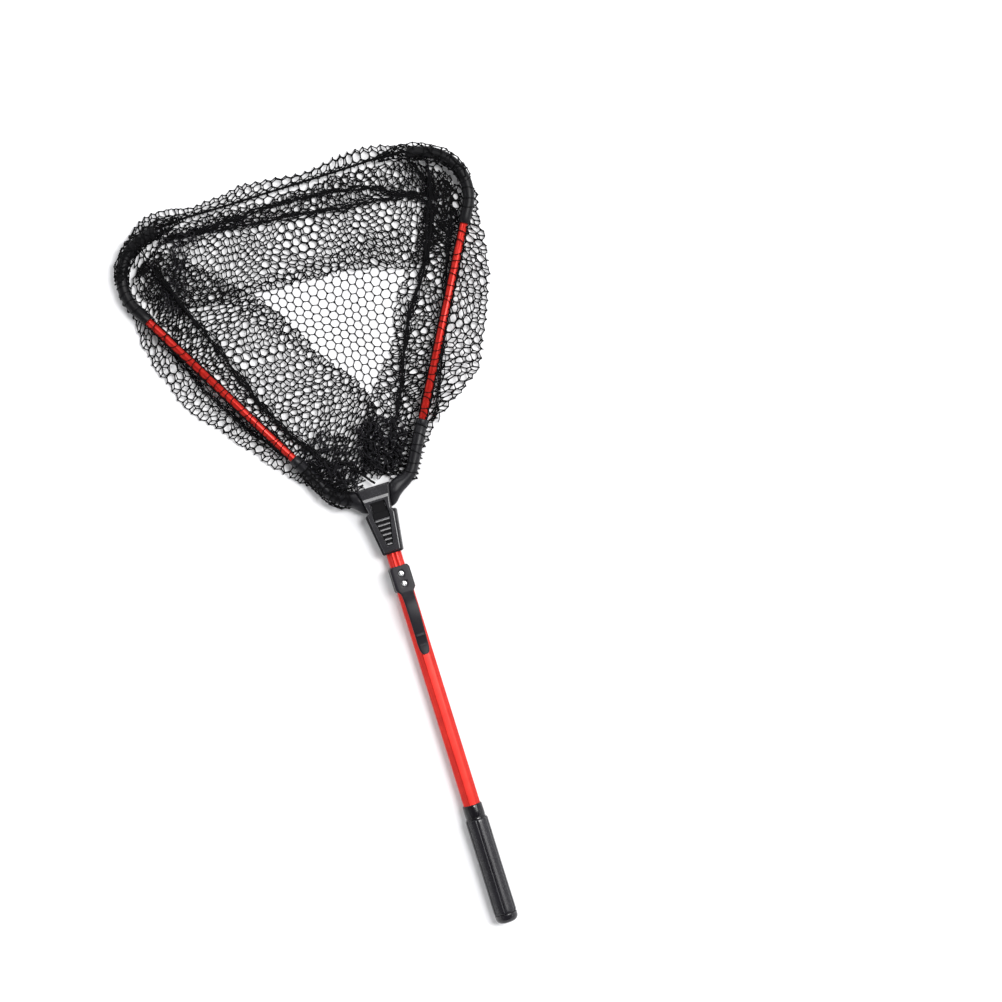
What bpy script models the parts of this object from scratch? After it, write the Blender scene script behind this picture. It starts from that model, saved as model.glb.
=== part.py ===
"""Folding triangular landing net with a telescopic handle, lying flat with the hoop open.

Units are metres, +Z up. The handle lies along -Y, the hoop opens towards +Y, and the
origin is under the middle of the whole net, on the surface that it lies on.
Lengths below are in millimetres and are scaled by MM when points are made.
"""

import math

import bmesh
import bpy
from mathutils import Matrix, Vector

MM = 0.001

# ---------------------------------------------------------------- driving dimensions (mm)
SHIFT_Y = 71.5  # the plan's zero, just before the yoke, lies this far in front of the origin
AXIS_Z = 11.75  # height of the handle axis, the hoop plane and the hinge pins
GAP = 0.35  # play between neighbouring pieces

# handle
TUBE_ROLL = 9.0  # degrees that the eight-sided tubes and the clip on them are turned about their axis
OUTER_FLAT, OUTER_BORE = 8.6, 7.95  # apothems of the outer tube and its bore
INNER_FLAT, INNER_BORE = 7.6, 6.5
OUTER_Y = (-94.3, -458.0)
INNER_Y = (-37.7, -440.0)
GRIP_R = 11.75
GRIP_LOBES = 6
GRIP_COLLAR_R = 10.3
COLLAR_Y = (-346.0, -361.0)
SLEEVE_Y = (-361.3, -462.0)
CAP_END_Y = -472.0
ROUND_BORE = 9.25  # round hole that clears the outer tube's corners

# throat block and belt clip
BLOCK_Y = (-91.0, -117.6)
BLOCK_HALF = 10.0
BLOCK_TOP = 23.2
CLIP_T = 1.9
SCREW_Y = (-99.1, -109.7)

# yoke
SEAM_DEG = 13.3  # the slant of the yoke's side faces, so of the hinge axes too
ROOT_LINE = (14.48, -9.0)  # where the arm roots' centre lines enter the yoke
PIN_BACK = 4.0  # the hinge pins lie this far behind those lines
SEAM_OUT = 2.5  # from there to the yoke's side faces
YOKE_TOP = 21.3
COVER_TOP = 24.0
NECK_END = (10.6, -76.8)

# arms
ARM_DEG = 29.3  # from the forward direction
ROOT_BEND_R = 23.8
ROOT_STUB = 4.0
ROOT_R = 6.25
ROOT_STRAIGHT = 49.8
ARM_R, ARM_WALL = 4.15, 0.9
ARM_SEEN = 204.0
ARM_IN_ROOT, ARM_IN_BOW = 32.0, 16.0
RIVET_BACK = 25.0  # rivet centre to the end of the arm root
PIN_R = 2.5

# corner bows and front cord
BOW_R = 6.0
BOW_STRAIGHT = 18.0
BOW_BEND_R = 46.0
BOW_TIP_DEG = -72.0
CORD_R = 1.3

# net
BRIM_T = 1.6
RIM_TOP = 12.0
RIM_T = 1.8
RIM_INSET = 9.6
BRIM_HALF = (  # right half of the net's outline where it lies spread out
    (14.0, 4.0),
    (44.0, 0.0),
    (78.0, 24.0),
    (108.0, 61.0),
    (138.0, 98.0),
    (164.0, 144.0),
    (185.0, 190.0),
    (192.0, 232.0),
    (192.5, 262.0),
    (187.0, 286.0),
    (172.0, 307.0),
    (148.0, 321.0),
    (122.0, 327.0),
    (66.0, 329.0),
)


# ---------------------------------------------------------------- small helpers
def turn(deg):
    """Unit direction in the hoop plane, measured from forward towards the right."""
    a = math.radians(deg)
    return Vector((math.sin(a), math.cos(a)))


def left_of(d):
    return Vector((-d[1], d[0]))


U = turn(90 + SEAM_DEG)  # right hinge axis, pointing out of the yoke
ARM_DIR = turn(ARM_DEG)
TIP_DIR = turn(BOW_TIP_DEG)
H = Vector(ROOT_LINE)
N = left_of(U)  # in the hoop plane, along the yoke's side face towards the front
PIN = H - N * PIN_BACK


def bend(start, d0, d1, radius, steps):
    """Points of an arc that turns left from direction d0 to d1, its start left out."""
    centre = start + left_of(d0) * radius
    a0 = math.atan2(-left_of(d0)[1], -left_of(d0)[0])
    a1 = math.atan2(-left_of(d1)[1], -left_of(d1)[0])
    if a1 < a0:
        a1 += 2 * math.pi
    return [
        centre + Vector((math.cos(a), math.sin(a))) * radius
        for a in (a0 + (a1 - a0) * i / steps for i in range(1, steps + 1))
    ]


ROOT_S0 = H + U * ROOT_STUB
ROOT_ARC = bend(ROOT_S0, U, ARM_DIR, ROOT_BEND_R, 8)
ROOT_END = ROOT_ARC[-1] + ARM_DIR * ROOT_STRAIGHT
BOW_START = ROOT_END + ARM_DIR * ARM_SEEN
BOW_S0 = BOW_START + ARM_DIR * BOW_STRAIGHT
BOW_ARC = bend(BOW_S0, ARM_DIR, TIP_DIR, BOW_BEND_R, 14)
BOW_TIP = BOW_ARC[-1] + TIP_DIR * BOW_STRAIGHT


def at(x, y, z):
    """A point given in millimetres from the plan's zero, in metres."""
    return Vector((x * MM, (y + SHIFT_Y) * MM, z * MM))


def collection(name):
    c = bpy.data.collections.new(name)
    bpy.context.scene.collection.children.link(c)
    return c


def material(name, colour, roughness, metallic=0.0):
    m = bpy.data.materials.new(name)
    m.use_nodes = True
    p = m.node_tree.nodes["Principled BSDF"]
    p.inputs["Base Color"].default_value = (*colour, 1.0)
    p.inputs["Roughness"].default_value = roughness
    p.inputs["Metallic"].default_value = metallic
    m.diffuse_color = (*colour, 1.0)
    return m


for old in list(bpy.data.objects):
    bpy.data.objects.remove(old, do_unlink=True)

PARTS = collection("landing_net")
CUTTERS = collection("cutters")

BLACK = material("black_nylon", (0.018, 0.018, 0.020), 0.42)
GRIP_BLACK = material("black_grip", (0.022, 0.022, 0.026), 0.36)
GLOSS = material("gloss_black", (0.014, 0.014, 0.016), 0.18)
RED = material("red_anodised", (0.62, 0.035, 0.022), 0.28, 0.75)
STEEL = material("bright_steel", (0.72, 0.73, 0.74), 0.22, 1.0)
SPRING_STEEL = material("spring_steel", (0.42, 0.43, 0.45), 0.35, 1.0)
CORD_BLACK = material("black_cord", (0.012, 0.012, 0.013), 0.75)
NET_BLACK = material("black_net", (0.012, 0.012, 0.013), 0.7)


def link(obj, mat=None):
    """Puts a piece among the parts, or among the cutters if it has no material."""
    (PARTS if mat else CUTTERS).objects.link(obj)
    if mat:
        obj.data.materials.clear()
        obj.data.materials.append(mat)
    else:
        obj.hide_render = True
        obj.display_type = "WIRE"
    return obj


def smooth(obj, deg=35):
    obj.data.shade_smooth()
    obj.data.set_sharp_from_angle(angle=math.radians(deg))
    return obj


def from_bmesh(name, bm, mat=None):
    bmesh.ops.recalc_face_normals(bm, faces=bm.faces)
    mesh = bpy.data.meshes.new(name)
    bm.to_mesh(mesh)
    bm.free()
    return link(bpy.data.objects.new(name, mesh), mat)


def curve_to_mesh(name, curve, mat):
    """A curve made a closed mesh, its caps welded on."""
    tmp = bpy.data.objects.new(name + "_curve", curve)
    bpy.context.scene.collection.objects.link(tmp)
    bpy.context.view_layer.update()
    mesh = bpy.data.meshes.new_from_object(
        tmp.evaluated_get(bpy.context.evaluated_depsgraph_get())
    )
    bpy.data.objects.remove(tmp, do_unlink=True)
    bm = bmesh.new()
    bm.from_mesh(mesh)
    bpy.data.meshes.remove(mesh)
    bmesh.ops.remove_doubles(bm, verts=bm.verts, dist=1e-6)
    return from_bmesh(name, bm, mat)


def outline(name, points, half):
    """A closed flat outline (metres), extruded by half to each side."""
    c = bpy.data.curves.new(name, "CURVE")
    c.dimensions = "2D"
    c.fill_mode = "BOTH"
    c.extrude = half
    s = c.splines.new("POLY")
    s.points.add(len(points) - 1)
    for p, q in zip(s.points, points, strict=True):
        p.co = (q[0], q[1], 0, 1)
    s.use_cyclic_u = True
    return c


def prism_z(name, points, z0, z1, mat=None):
    """An outline in the hoop plane (mm) between two heights."""
    flat = [(x * MM, (y + SHIFT_Y) * MM) for x, y in points]
    obj = curve_to_mesh(name, outline(name, flat, (z1 - z0) / 2 * MM), mat)
    obj.location.z = (z0 + z1) / 2 * MM
    return obj


def prism_y(name, points, y0, y1, mat=None, roll=0.0):
    """An outline across the handle (mm from its axis) between two places along it."""
    flat = [(x * MM, z * MM) for x, z in points]
    obj = curve_to_mesh(name, outline(name, flat, abs(y1 - y0) / 2 * MM), mat)
    obj.matrix_world = (
        Matrix.Translation(at(0, (y0 + y1) / 2, AXIS_Z))
        @ Matrix.Rotation(math.radians(roll), 4, "Y")
        @ Matrix.Rotation(math.radians(90), 4, "X")
    )
    return obj


def wire(name, points, radius, mat=None, sides=2, cyclic=False):
    """A round rod along points given in metres."""
    c = bpy.data.curves.new(name, "CURVE")
    c.dimensions = "3D"
    c.bevel_depth = radius
    c.bevel_resolution = sides
    c.use_fill_caps = True
    s = c.splines.new("POLY")
    s.points.add(len(points) - 1)
    for p, q in zip(s.points, points, strict=True):
        p.co = (*q, 1)
    s.use_cyclic_u = cyclic
    return curve_to_mesh(name, c, mat)


def rod(name, a, b, radius, mat=None, segments=20):
    """A cylinder from a to b, both in metres."""
    bm = bmesh.new()
    d = b - a
    bmesh.ops.create_cone(
        bm,
        cap_ends=True,
        segments=segments,
        radius1=radius,
        radius2=radius,
        depth=d.length,
        matrix=Matrix.Translation((a + b) / 2)
        @ d.to_track_quat("Z", "Y").to_matrix().to_4x4(),
    )
    return from_bmesh(name, bm, mat)


def block(name, low, high, mat=None):
    """A box between two corners given in mm."""
    bm = bmesh.new()
    a, b = at(*low), at(*high)
    bmesh.ops.create_cube(
        bm,
        size=1,
        matrix=Matrix.Translation((a + b) / 2) @ Matrix.Diagonal((*(b - a), 1)),
    )
    return from_bmesh(name, bm, mat)


def turned(name, profile, mat=None, steps=32):
    """A profile of (radius, height) in mm, run from top to bottom, turned about Z."""
    bm = bmesh.new()
    vs = [bm.verts.new((r * MM, 0, h * MM)) for r, h in profile]
    for a, b in zip(vs, vs[1:], strict=False):
        bm.edges.new((a, b))
    mesh = bpy.data.meshes.new(name)
    bm.to_mesh(mesh)
    bm.free()
    obj = link(bpy.data.objects.new(name, mesh), mat)
    s = obj.modifiers.new("turn", "SCREW")
    s.steps = s.render_steps = steps
    s.use_merge_vertices = True
    s.merge_threshold = 1e-6
    s.use_smooth_shade = True
    return obj


def boolean(obj, other, how="DIFFERENCE"):
    m = obj.modifiers.new(how.lower(), "BOOLEAN")
    m.operation = how
    m.object = other
    m.solver = "EXACT"
    return obj


def bevel(obj, width, segments=2, deg=40):
    b = obj.modifiers.new("edges", "BEVEL")
    b.width = width * MM
    b.segments = segments
    b.limit_method = "ANGLE"
    b.angle_limit = math.radians(deg)
    b.harden_normals = False
    return obj


def loft(name, rings, mat=None):
    """A closed body through rings of equal numbers of points, in metres."""
    bm = bmesh.new()
    made = [[bm.verts.new(p) for p in ring] for ring in rings]
    n = len(made[0])
    for a, b in zip(made, made[1:], strict=False):
        for i in range(n):
            bm.faces.new((a[i], a[(i + 1) % n], b[(i + 1) % n], b[i]))
    bm.faces.new(made[0][::-1])
    bm.faces.new(made[-1])
    return from_bmesh(name, bm, mat)


def axis_empty(name, place):
    e = bpy.data.objects.new(name, None)
    e.empty_display_size = 0.02
    e.location = place
    PARTS.objects.link(e)
    return e


def carry(empty, *objs):
    """Hangs pieces on a joint's empty without moving them."""
    bpy.context.view_layer.update()
    for o in objs:
        o.parent = empty
        o.matrix_parent_inverse = empty.matrix_world.inverted()


def rolled(*objs):
    """Turns pieces that sit on a flat of the outer tube about its axis, with the tube."""
    centre = at(0, 0, AXIS_Z)
    about = (
        Matrix.Translation(centre)
        @ Matrix.Rotation(math.radians(TUBE_ROLL), 4, "Y")
        @ Matrix.Translation(-centre)
    )
    for o in objs:
        o.matrix_basis = about @ o.matrix_basis


def octagon(apothem, corner=1.2):
    """Eight flats with chamfered corners, one flat on top."""
    half = apothem * math.tan(math.pi / 8) - corner
    pts = []
    for k in range(8):
        n = Vector((math.sin(k * math.pi / 4), math.cos(k * math.pi / 4)))
        t = Vector((n[1], -n[0]))
        pts += [n * apothem - t * half, n * apothem + t * half]
    return [(p[0], p[1]) for p in pts]


def mirrored(points):
    """A full outline from its right half, which runs from back to front."""
    return [*points, *[(-x, y) for x, y in reversed(points)]]


def xy(v, z, side):
    return at(side * v[0], v[1], z)


# ---------------------------------------------------------------- handle
handle = axis_empty("handle_axis", at(0, -300, AXIS_Z))

outer_tube = prism_y("outer_tube", octagon(OUTER_FLAT), *OUTER_Y, RED, TUBE_ROLL)
boolean(
    outer_tube,
    prism_y("outer_bore", octagon(OUTER_BORE, 0.9), -80, -470, None, TUBE_ROLL),
)


def lobe_radius(a):
    """The grip's outline: broad lobes parted by narrow grooves."""
    k = abs(math.sin(a * GRIP_LOBES / 2))  # 0 at a groove
    return GRIP_R - 0.95 * max(0.0, 1 - k / 0.4) ** 1.5


lobes = []
for i in range(GRIP_LOBES * 10):
    a = 2 * math.pi * i / (GRIP_LOBES * 10)
    b = a + math.pi / 2 + math.radians(6.0)
    r = lobe_radius(a)
    lobes.append((r * math.cos(b), r * math.sin(b)))
grip_sleeve = prism_y("grip_sleeve", lobes, *SLEEVE_Y, GRIP_BLACK, TUBE_ROLL)
boolean(
    grip_sleeve,
    rod("sleeve_bore", at(0, -340, AXIS_Z), at(0, -480, AXIS_Z), ROUND_BORE * MM, None, 32),
)

ALONG = Matrix.Rotation(math.radians(90), 4, "X")  # turned pieces: +Z becomes -Y

length = COLLAR_Y[0] - COLLAR_Y[1]
grip_collar = turned(
    "grip_collar",
    [
        (ROUND_BORE, length),
        (GRIP_COLLAR_R - 0.7, length),
        (GRIP_COLLAR_R, length - 0.8),
        (GRIP_COLLAR_R, 0),
        (ROUND_BORE, 0),
        (ROUND_BORE, length),
    ],
    GLOSS,
)
grip_collar.matrix_world = Matrix.Translation(at(0, COLLAR_Y[0], AXIS_Z)) @ ALONG

cap_y = SLEEVE_Y[1] - 0.3
dome = cap_y - CAP_END_Y
profile = [(0, dome)]
for i in range(1, 9):
    a = math.radians(90 * i / 8)
    profile.append(
        (6.6 + 4.9 * math.sin(a), dome - 4.9 * (1 - math.cos(a)))
        if i
        else (0, dome)
    )
profile.insert(1, (6.6, dome))
profile += [(11.5, 0.0), (7.4, 0.0), (7.4, -12.0), (0, -12.0)]
grip_end_cap = turned("grip_end_cap", profile, GLOSS)
grip_end_cap.matrix_world = Matrix.Translation(at(0, cap_y, AXIS_Z)) @ ALONG

throat_block = block(
    "throat_block",
    (-BLOCK_HALF, BLOCK_Y[1], 1.9),
    (BLOCK_HALF, BLOCK_Y[0], BLOCK_TOP),
    BLACK,
)
bevel(throat_block, 2.4, 2)
boolean(
    throat_block,
    rod("block_bore", at(0, -94.0, AXIS_Z), at(0, -130, AXIS_Z), ROUND_BORE * MM, None, 32),
)
boolean(
    throat_block,
    prism_y("block_mouth", octagon(OUTER_BORE, 0.9), -85, -100, None, TUBE_ROLL),
)

# belt clip: one bent strip, its plate under two screws and its tongue over the tube
CLIP_Z = BLOCK_TOP + GAP
stations = [  # along the handle, underside height, half width
    (-91.0, CLIP_Z, 7.4),
    (-94.0, CLIP_Z, 10.0),
    (-115.0, CLIP_Z, 10.0),
    (-119.2, CLIP_Z + 0.25, 6.9),
    (-122.8, CLIP_Z + 1.6, 6.15),
    (-126.0, CLIP_Z + 2.9, 6.05),
    (-131.0, CLIP_Z + 3.85, 6.0),
    (-139.0, CLIP_Z + 4.2, 5.95),
    (-149.0, CLIP_Z + 3.4, 5.8),
    (-158.0, CLIP_Z + 1.7, 5.65),
    (-165.0, CLIP_Z, 5.5),
    (-171.0, CLIP_Z - 1.4, 5.4),
    (-176.0, CLIP_Z - 2.1, 5.25),
    (-180.5, CLIP_Z - 2.2, 4.7),
    (-183.2, CLIP_Z - 2.2, 3.8),
    (-185.0, CLIP_Z - 2.1, 2.2),
]
rings = []
for y, z, w in stations:
    rings.append(
        [at(-w, y, z), at(w, y, z), at(w, y, z + CLIP_T), at(-w, y, z + CLIP_T)]
    )
belt_clip = loft("belt_clip", rings, BLACK)
clip_screws = []
for name, y in zip(("front", "rear"), SCREW_Y, strict=True):
    top = CLIP_Z + CLIP_T + 0.3
    screw = turned(
        f"clip_screw_{name}",
        [
            (0, 1.5),
            (1.6, 1.42),
            (2.6, 0.95),
            (3.0, 0.3),
            (3.0, 0),
            (1.4, 0),
            (1.4, -4.0),
            (0, -4.4),
        ],
        STEEL,
        20,
    )
    screw.location = at(0, y, top)
    crosses = [
        block(f"cross_{name}_{k}", (-w, y - l, top + 0.75), (w, y + l, top + 3))
        for k, (w, l) in enumerate(((1.9, 0.32), (0.32, 1.9)))
    ]
    for cross in crosses:
        boolean(screw, cross)
    clip_screws.append(screw)
    hole = rod(
        f"screw_hole_{name}",
        at(0, y, top - 4.9),
        at(0, y, top + 4),
        (1.4 + GAP) * MM,
        None,
        16,
    )
    boolean(belt_clip, hole)
    boolean(throat_block, hole)
    rolled(hole, screw, *crosses)
rolled(throat_block, belt_clip)

carry(handle, outer_tube, grip_sleeve, grip_collar, grip_end_cap, throat_block)
carry(handle, belt_clip, *clip_screws)

# ---------------------------------------------------------------- head: inner tube and yoke
head = axis_empty("head_axis", at(0, 0, AXIS_Z))

inner_tube = prism_y("inner_tube", octagon(INNER_FLAT, 1.1), *INNER_Y, RED, TUBE_ROLL)
boolean(
    inner_tube,
    prism_y("inner_bore", octagon(INNER_BORE, 0.9), -20, -450, None, TUBE_ROLL),
)

slide_bush = prism_y(
    "slide_bush", octagon(INNER_FLAT, 1.1), INNER_Y[1] - 0.3, -445.0, BLACK, TUBE_ROLL
)
boolean(
    slide_bush,
    prism_y("bush_spigot", octagon(INNER_BORE - 0.3, 0.9), -428, -442, None, TUBE_ROLL),
    "UNION",
)

side_front = H + N * 3.7 + U * SEAM_OUT
side_back = H - N * 23.6 + U * SEAM_OUT
shoulder = H - N * 23.6 + U * 7.3
yoke_body = prism_z(
    "yoke_body",
    mirrored(
        [
            NECK_END,
            (shoulder[0] + 0.1, shoulder[1] - 2.4),
            tuple(shoulder),
            tuple(side_back),
            tuple(side_front),
        ]
    ),
    0,
    YOKE_TOP,
    BLACK,
)
bevel(yoke_body, 1.2, 2)
boolean(
    yoke_body,
    prism_y("neck_bore", octagon(OUTER_BORE, 0.9), -36.7, -90, None, TUBE_ROLL),
)
boolean(yoke_body, block("lock_pocket", (-7.4, -35.2, 15.5), (7.4, -10.7, 30)))
boolean(yoke_body, block("bar_slot", (-25, -29.3, 15.9), (25, -18.9, 19.0)))

window = mirrored([(3.1, -68.3), (9.3, -36.7), (7.9, -22.2)])
yoke_cover = prism_z(
    "yoke_cover",
    mirrored([(8.6, -74.8), (13.6, -36.2), (11.2, -31.6), (15.4, -7.2)]),
    YOKE_TOP + 0.3,
    COVER_TOP,
    BLACK,
)
bevel(yoke_cover, 0.8, 2)
boolean(yoke_cover, prism_z("cover_window", window, YOKE_TOP - 2, COVER_TOP + 3))
ramp = [  # the cover's front is thinner and slopes up to the window
    [at(x, -20.2, COVER_TOP + 0.1), at(x, -20.2, 30), at(x, 5, 30), at(x, 5, COVER_TOP - 1.3)]
    + [at(x, -17.0, COVER_TOP - 1.2)]
    for x in (-30, 30)
]
boolean(yoke_cover, loft("cover_ramp", ramp))

# thumb slide: a pad in the window, low in front with six cross ribs behind, and a block in
# the pocket below it
lock_slider = prism_z(
    "lock_slider",
    mirrored([(2.6, -67.8), (8.6, -36.3), (7.8, -33.2)]),
    YOKE_TOP + GAP,
    COVER_TOP + 0.3,
    BLACK,
)
for i in range(6):
    y = -39.95 - 5.04 * i
    front = y + 2.55 if i else -30.0
    boolean(
        lock_slider,
        block(f"rib_gap_{i}", (-12, y, YOKE_TOP + 1.3), (12, front, 40)),
    )
foot = block("slider_foot", (-6.9, -34.9, 15.9), (6.9, -18.7, YOKE_TOP - 0.1))
step = block("slider_step", (-6.9, -34.9, YOKE_TOP - 3), (6.9, -32.7, YOKE_TOP + 1.2))
bar_groove = block("bar_groove", (-20, -29.1, 10), (20, -24.3, 18.95))
boolean(lock_slider, step, "UNION")
boolean(lock_slider, foot, "UNION")
boolean(lock_slider, bar_groove)
lock_bar = block("lock_bar", (-11.2, -28.7, 16.2), (11.2, -24.7, 18.6), STEEL)
bevel(lock_bar, 0.4, 1)

coil = []
turns, per, y0, y1 = 4.5, 10, -11.4, -18.0
for i in range(int(turns * per) + 1):
    a = 2 * math.pi * i / per
    y = y0 + (y1 - y0) * i / (turns * per)
    coil.append(at(2.1 * math.cos(a), y, 18.4 + 2.1 * math.sin(a)))
lock_spring = wire("lock_spring", coil, 0.35 * MM, SPRING_STEEL, 1)

carry(head, inner_tube, slide_bush, yoke_body, yoke_cover, lock_spring)
lock = axis_empty("lock_axis", at(0, -36, YOKE_TOP))
carry(lock, lock_slider, lock_bar)

# ---------------------------------------------------------------- arms, one per side
ROOT_STATIONS = (  # run along the root, centre shift, half length, half height
    (2.65, -9.6, 13.0, 9.4),
    (6.0, -6.9, 12.1, 9.3),
    (9.0, -3.3, 9.9, 8.9),
    (12.5, -1.15, 8.45, 8.2),
    (18.0, -0.2, 7.2, 7.2),
    (25.0, 0.0, 6.5, 6.6),
    (34.0, 0.0, ROOT_R, ROOT_R),
)


def root_path(s):
    """Place and direction at a run s along the arm root's centre line."""
    s += 0.2
    if s <= ROOT_STUB:
        return H + U * s, U
    turn_rad = math.radians(90 + SEAM_DEG - ARM_DEG)
    arc = ROOT_BEND_R * turn_rad
    if s <= ROOT_STUB + arc:
        d = turn(90 + SEAM_DEG - math.degrees((s - ROOT_STUB) / ROOT_BEND_R))
        centre = ROOT_S0 + left_of(U) * ROOT_BEND_R
        return centre - left_of(d) * ROOT_BEND_R, d
    return ROOT_ARC[-1] + ARM_DIR * (s - ROOT_STUB - arc), ARM_DIR


def root_ring(s, shift, half, high, side, n=20):
    place, d = root_path(s)
    across = left_of(d)
    ring = []
    for i in range(n):
        a = 2 * math.pi * i / n
        c, e = math.cos(a), math.sin(a)
        p = 2.0 + 1.0 * max(0.0, 1 - s / 18)
        w = math.copysign(abs(c) ** (2 / p), c) * half + shift
        h = math.copysign(abs(e) ** (2 / p), e) * high
        if w < -8:  # the heel thins towards its tip
            h *= 1 - 0.62 * min(1.0, (-8 - w) / 13)
        ring.append(xy(place + across * w, AXIS_Z + h, side))
    return ring


def make_arm(side, word):
    root_rings = [root_ring(*st, side) for st in ROOT_STATIONS]
    end_run = ROOT_STUB + ROOT_BEND_R * math.radians(90 + SEAM_DEG - ARM_DEG) - 0.2
    root_rings.append(root_ring(end_run + ROOT_STRAIGHT * 0.5, 0, ROOT_R, ROOT_R, side))
    root_rings.append(root_ring(end_run + ROOT_STRAIGHT - 1, 0, ROOT_R, ROOT_R, side))
    root_rings.append(
        root_ring(end_run + ROOT_STRAIGHT, 0, ROOT_R - 0.5, ROOT_R - 0.5, side)
    )
    root = loft(f"arm_root_{word}", root_rings, BLACK)
    smooth(root)
    inside = ROOT_END - ARM_DIR * ARM_IN_ROOT
    boolean(
        root,
        rod(
            f"root_bore_{word}",
            xy(inside - ARM_DIR * 1.0, AXIS_Z, side),
            xy(ROOT_END + ARM_DIR * 5, AXIS_Z, side),
            (ARM_R + 0.3) * MM,
            None,
            24,
        ),
    )
    boolean(
        root,
        rod(
            f"pin_bore_{word}",
            xy(PIN - U * 3, AXIS_Z, side),
            xy(PIN + U * 11.6, AXIS_Z, side),
            (PIN_R + 0.3) * MM,
        ),
    )
    boolean(
        yoke_body,
        rod(
            f"yoke_pin_bore_{word}",
            xy(PIN - U * 8.6, AXIS_Z, side),
            xy(PIN + U * 6, AXIS_Z, side),
            (PIN_R + 0.3) * MM,
        ),
    )
    pin = rod(
        f"hinge_pin_{word}",
        xy(PIN - U * 8.2, AXIS_Z, side),
        xy(PIN + U * 11.2, AXIS_Z, side),
        PIN_R * MM,
        STEEL,
    )
    smooth(pin)

    tube = rod(
        f"arm_tube_{word}",
        xy(inside, AXIS_Z, side),
        xy(BOW_START + ARM_DIR * ARM_IN_BOW, AXIS_Z, side),
        ARM_R * MM,
        RED,
        24,
    )
    smooth(tube)
    boolean(
        tube,
        rod(
            f"tube_bore_{word}",
            xy(inside - ARM_DIR * 5, AXIS_Z, side),
            xy(BOW_START + ARM_DIR * 40, AXIS_Z, side),
            (ARM_R - ARM_WALL) * MM,
            None,
            16,
        ),
    )
    spot = ROOT_END - ARM_DIR * RIVET_BACK
    hole = rod(
        f"rivet_hole_{word}",
        xy(spot, 0.5, side),
        xy(spot, AXIS_Z, side),
        (1.5 + 0.3) * MM,
        None,
        16,
    )
    boolean(root, hole)
    boolean(tube, hole)
    rivet = turned(
        f"arm_rivet_{word}",
        [
            (0, 4.2),
            (1.5, 4.2),
            (1.5, 0),
            (2.9, 0),
            (2.8, -0.5),
            (2.2, -1.05),
            (1.2, -1.3),
            (0, -1.4),
        ],
        STEEL,
        20,
    )
    rivet.location = xy(spot, AXIS_Z - ROOT_R - 0.25, side)

    line = [BOW_START + ARM_DIR * 0.3, BOW_S0, *BOW_ARC, BOW_TIP]
    bow = wire(
        f"corner_bow_{word}",
        [xy(p, AXIS_Z, side) for p in line],
        BOW_R * MM,
        BLACK,
        4,
    )
    smooth(bow)
    boolean(
        bow,
        rod(
            f"bow_bore_{word}",
            xy(BOW_START - ARM_DIR * 5, AXIS_Z, side),
            xy(BOW_START + ARM_DIR * (ARM_IN_BOW + 0.8), AXIS_Z, side),
            (ARM_R + 0.3) * MM,
            None,
            24,
        ),
    )
    boolean(
        bow,
        rod(
            f"tip_bore_{word}",
            xy(BOW_TIP - TIP_DIR * 12, AXIS_Z, side),
            xy(BOW_TIP + TIP_DIR * 5, AXIS_Z, side),
            4.0 * MM,
            None,
            16,
        ),
    )
    axis = axis_empty(f"arm_{word}_axis", xy(PIN, AXIS_Z, side))
    carry(axis, root, tube, rivet, bow)
    carry(head, pin)


make_arm(1, "right")
make_arm(-1, "left")

# ---------------------------------------------------------------- net and front cord
net = axis_empty("net_axis", at(0, -22.75, -1.0))

half_cord = [
    BOW_TIP - TIP_DIR * 9.0,
    BOW_TIP - TIP_DIR * 4.0,
    BOW_TIP + TIP_DIR * 1.5,
    BOW_TIP + TIP_DIR * 5.0 + Vector((-1.0, 0)),
    Vector((BOW_TIP[0] - 14.0, BOW_TIP[1] + 2.2)),
    Vector((60.0, BOW_TIP[1] + 2.3)),
]
cord_line = [xy(p, AXIS_Z, 1) for p in half_cord]
cord_line += [xy(p, AXIS_Z, -1) for p in reversed(half_cord)]
front_cord = wire("front_cord", cord_line, CORD_R * MM, CORD_BLACK, 2)
smooth(front_cord)

inner_arc = bend(
    BOW_S0 + left_of(ARM_DIR) * RIM_INSET,
    ARM_DIR,
    TIP_DIR,
    BOW_BEND_R - RIM_INSET,
    10,
)
rim_half = [
    Vector((30.0, 12.0)),
    Vector((41.0, 19.0)),
    ROOT_END + left_of(ARM_DIR) * RIM_INSET,
    BOW_S0 + left_of(ARM_DIR) * RIM_INSET,
    *inner_arc,
    Vector((126.0, BOW_TIP[1] - 8.0)),
]


def inset(points, by):
    """A closed outline moved inwards, its points running anticlockwise."""
    out = []
    n = len(points)
    for i, p in enumerate(points):
        a = (p - points[i - 1]).normalized()
        b = (points[(i + 1) % n] - p).normalized()
        na, nb = left_of(a), left_of(b)
        m = (na + nb).normalized()
        out.append(p + m * (by / max(0.4, m.dot(na))))
    return out


rim = [Vector(p) for p in mirrored([tuple(p) for p in rim_half])]
net_bag = prism_z("net_bag", mirrored(BRIM_HALF), 0, BRIM_T, NET_BLACK)
boolean(
    net_bag,
    prism_z("rim_outer", [tuple(p) for p in rim], BRIM_T * 0.4, RIM_TOP),
    "UNION",
)
boolean(
    net_bag,
    prism_z("rim_inner", [tuple(p) for p in inset(rim, RIM_T)], BRIM_T, RIM_TOP + 5),
)
carry(net, net_bag, front_cord)
bpy.context.view_layer.update()
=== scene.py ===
"""Looks of the folding landing net: finishes, netting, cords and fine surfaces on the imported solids.

Lengths are in millimetres in the net's own plan: x to the right, y forward from the yoke's
front edge, z up from the surface that it lies on. world() turns them into the row frame.
"""

import math

import bmesh
import bpy
import numpy as np
from mathutils import Matrix, Vector

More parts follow.
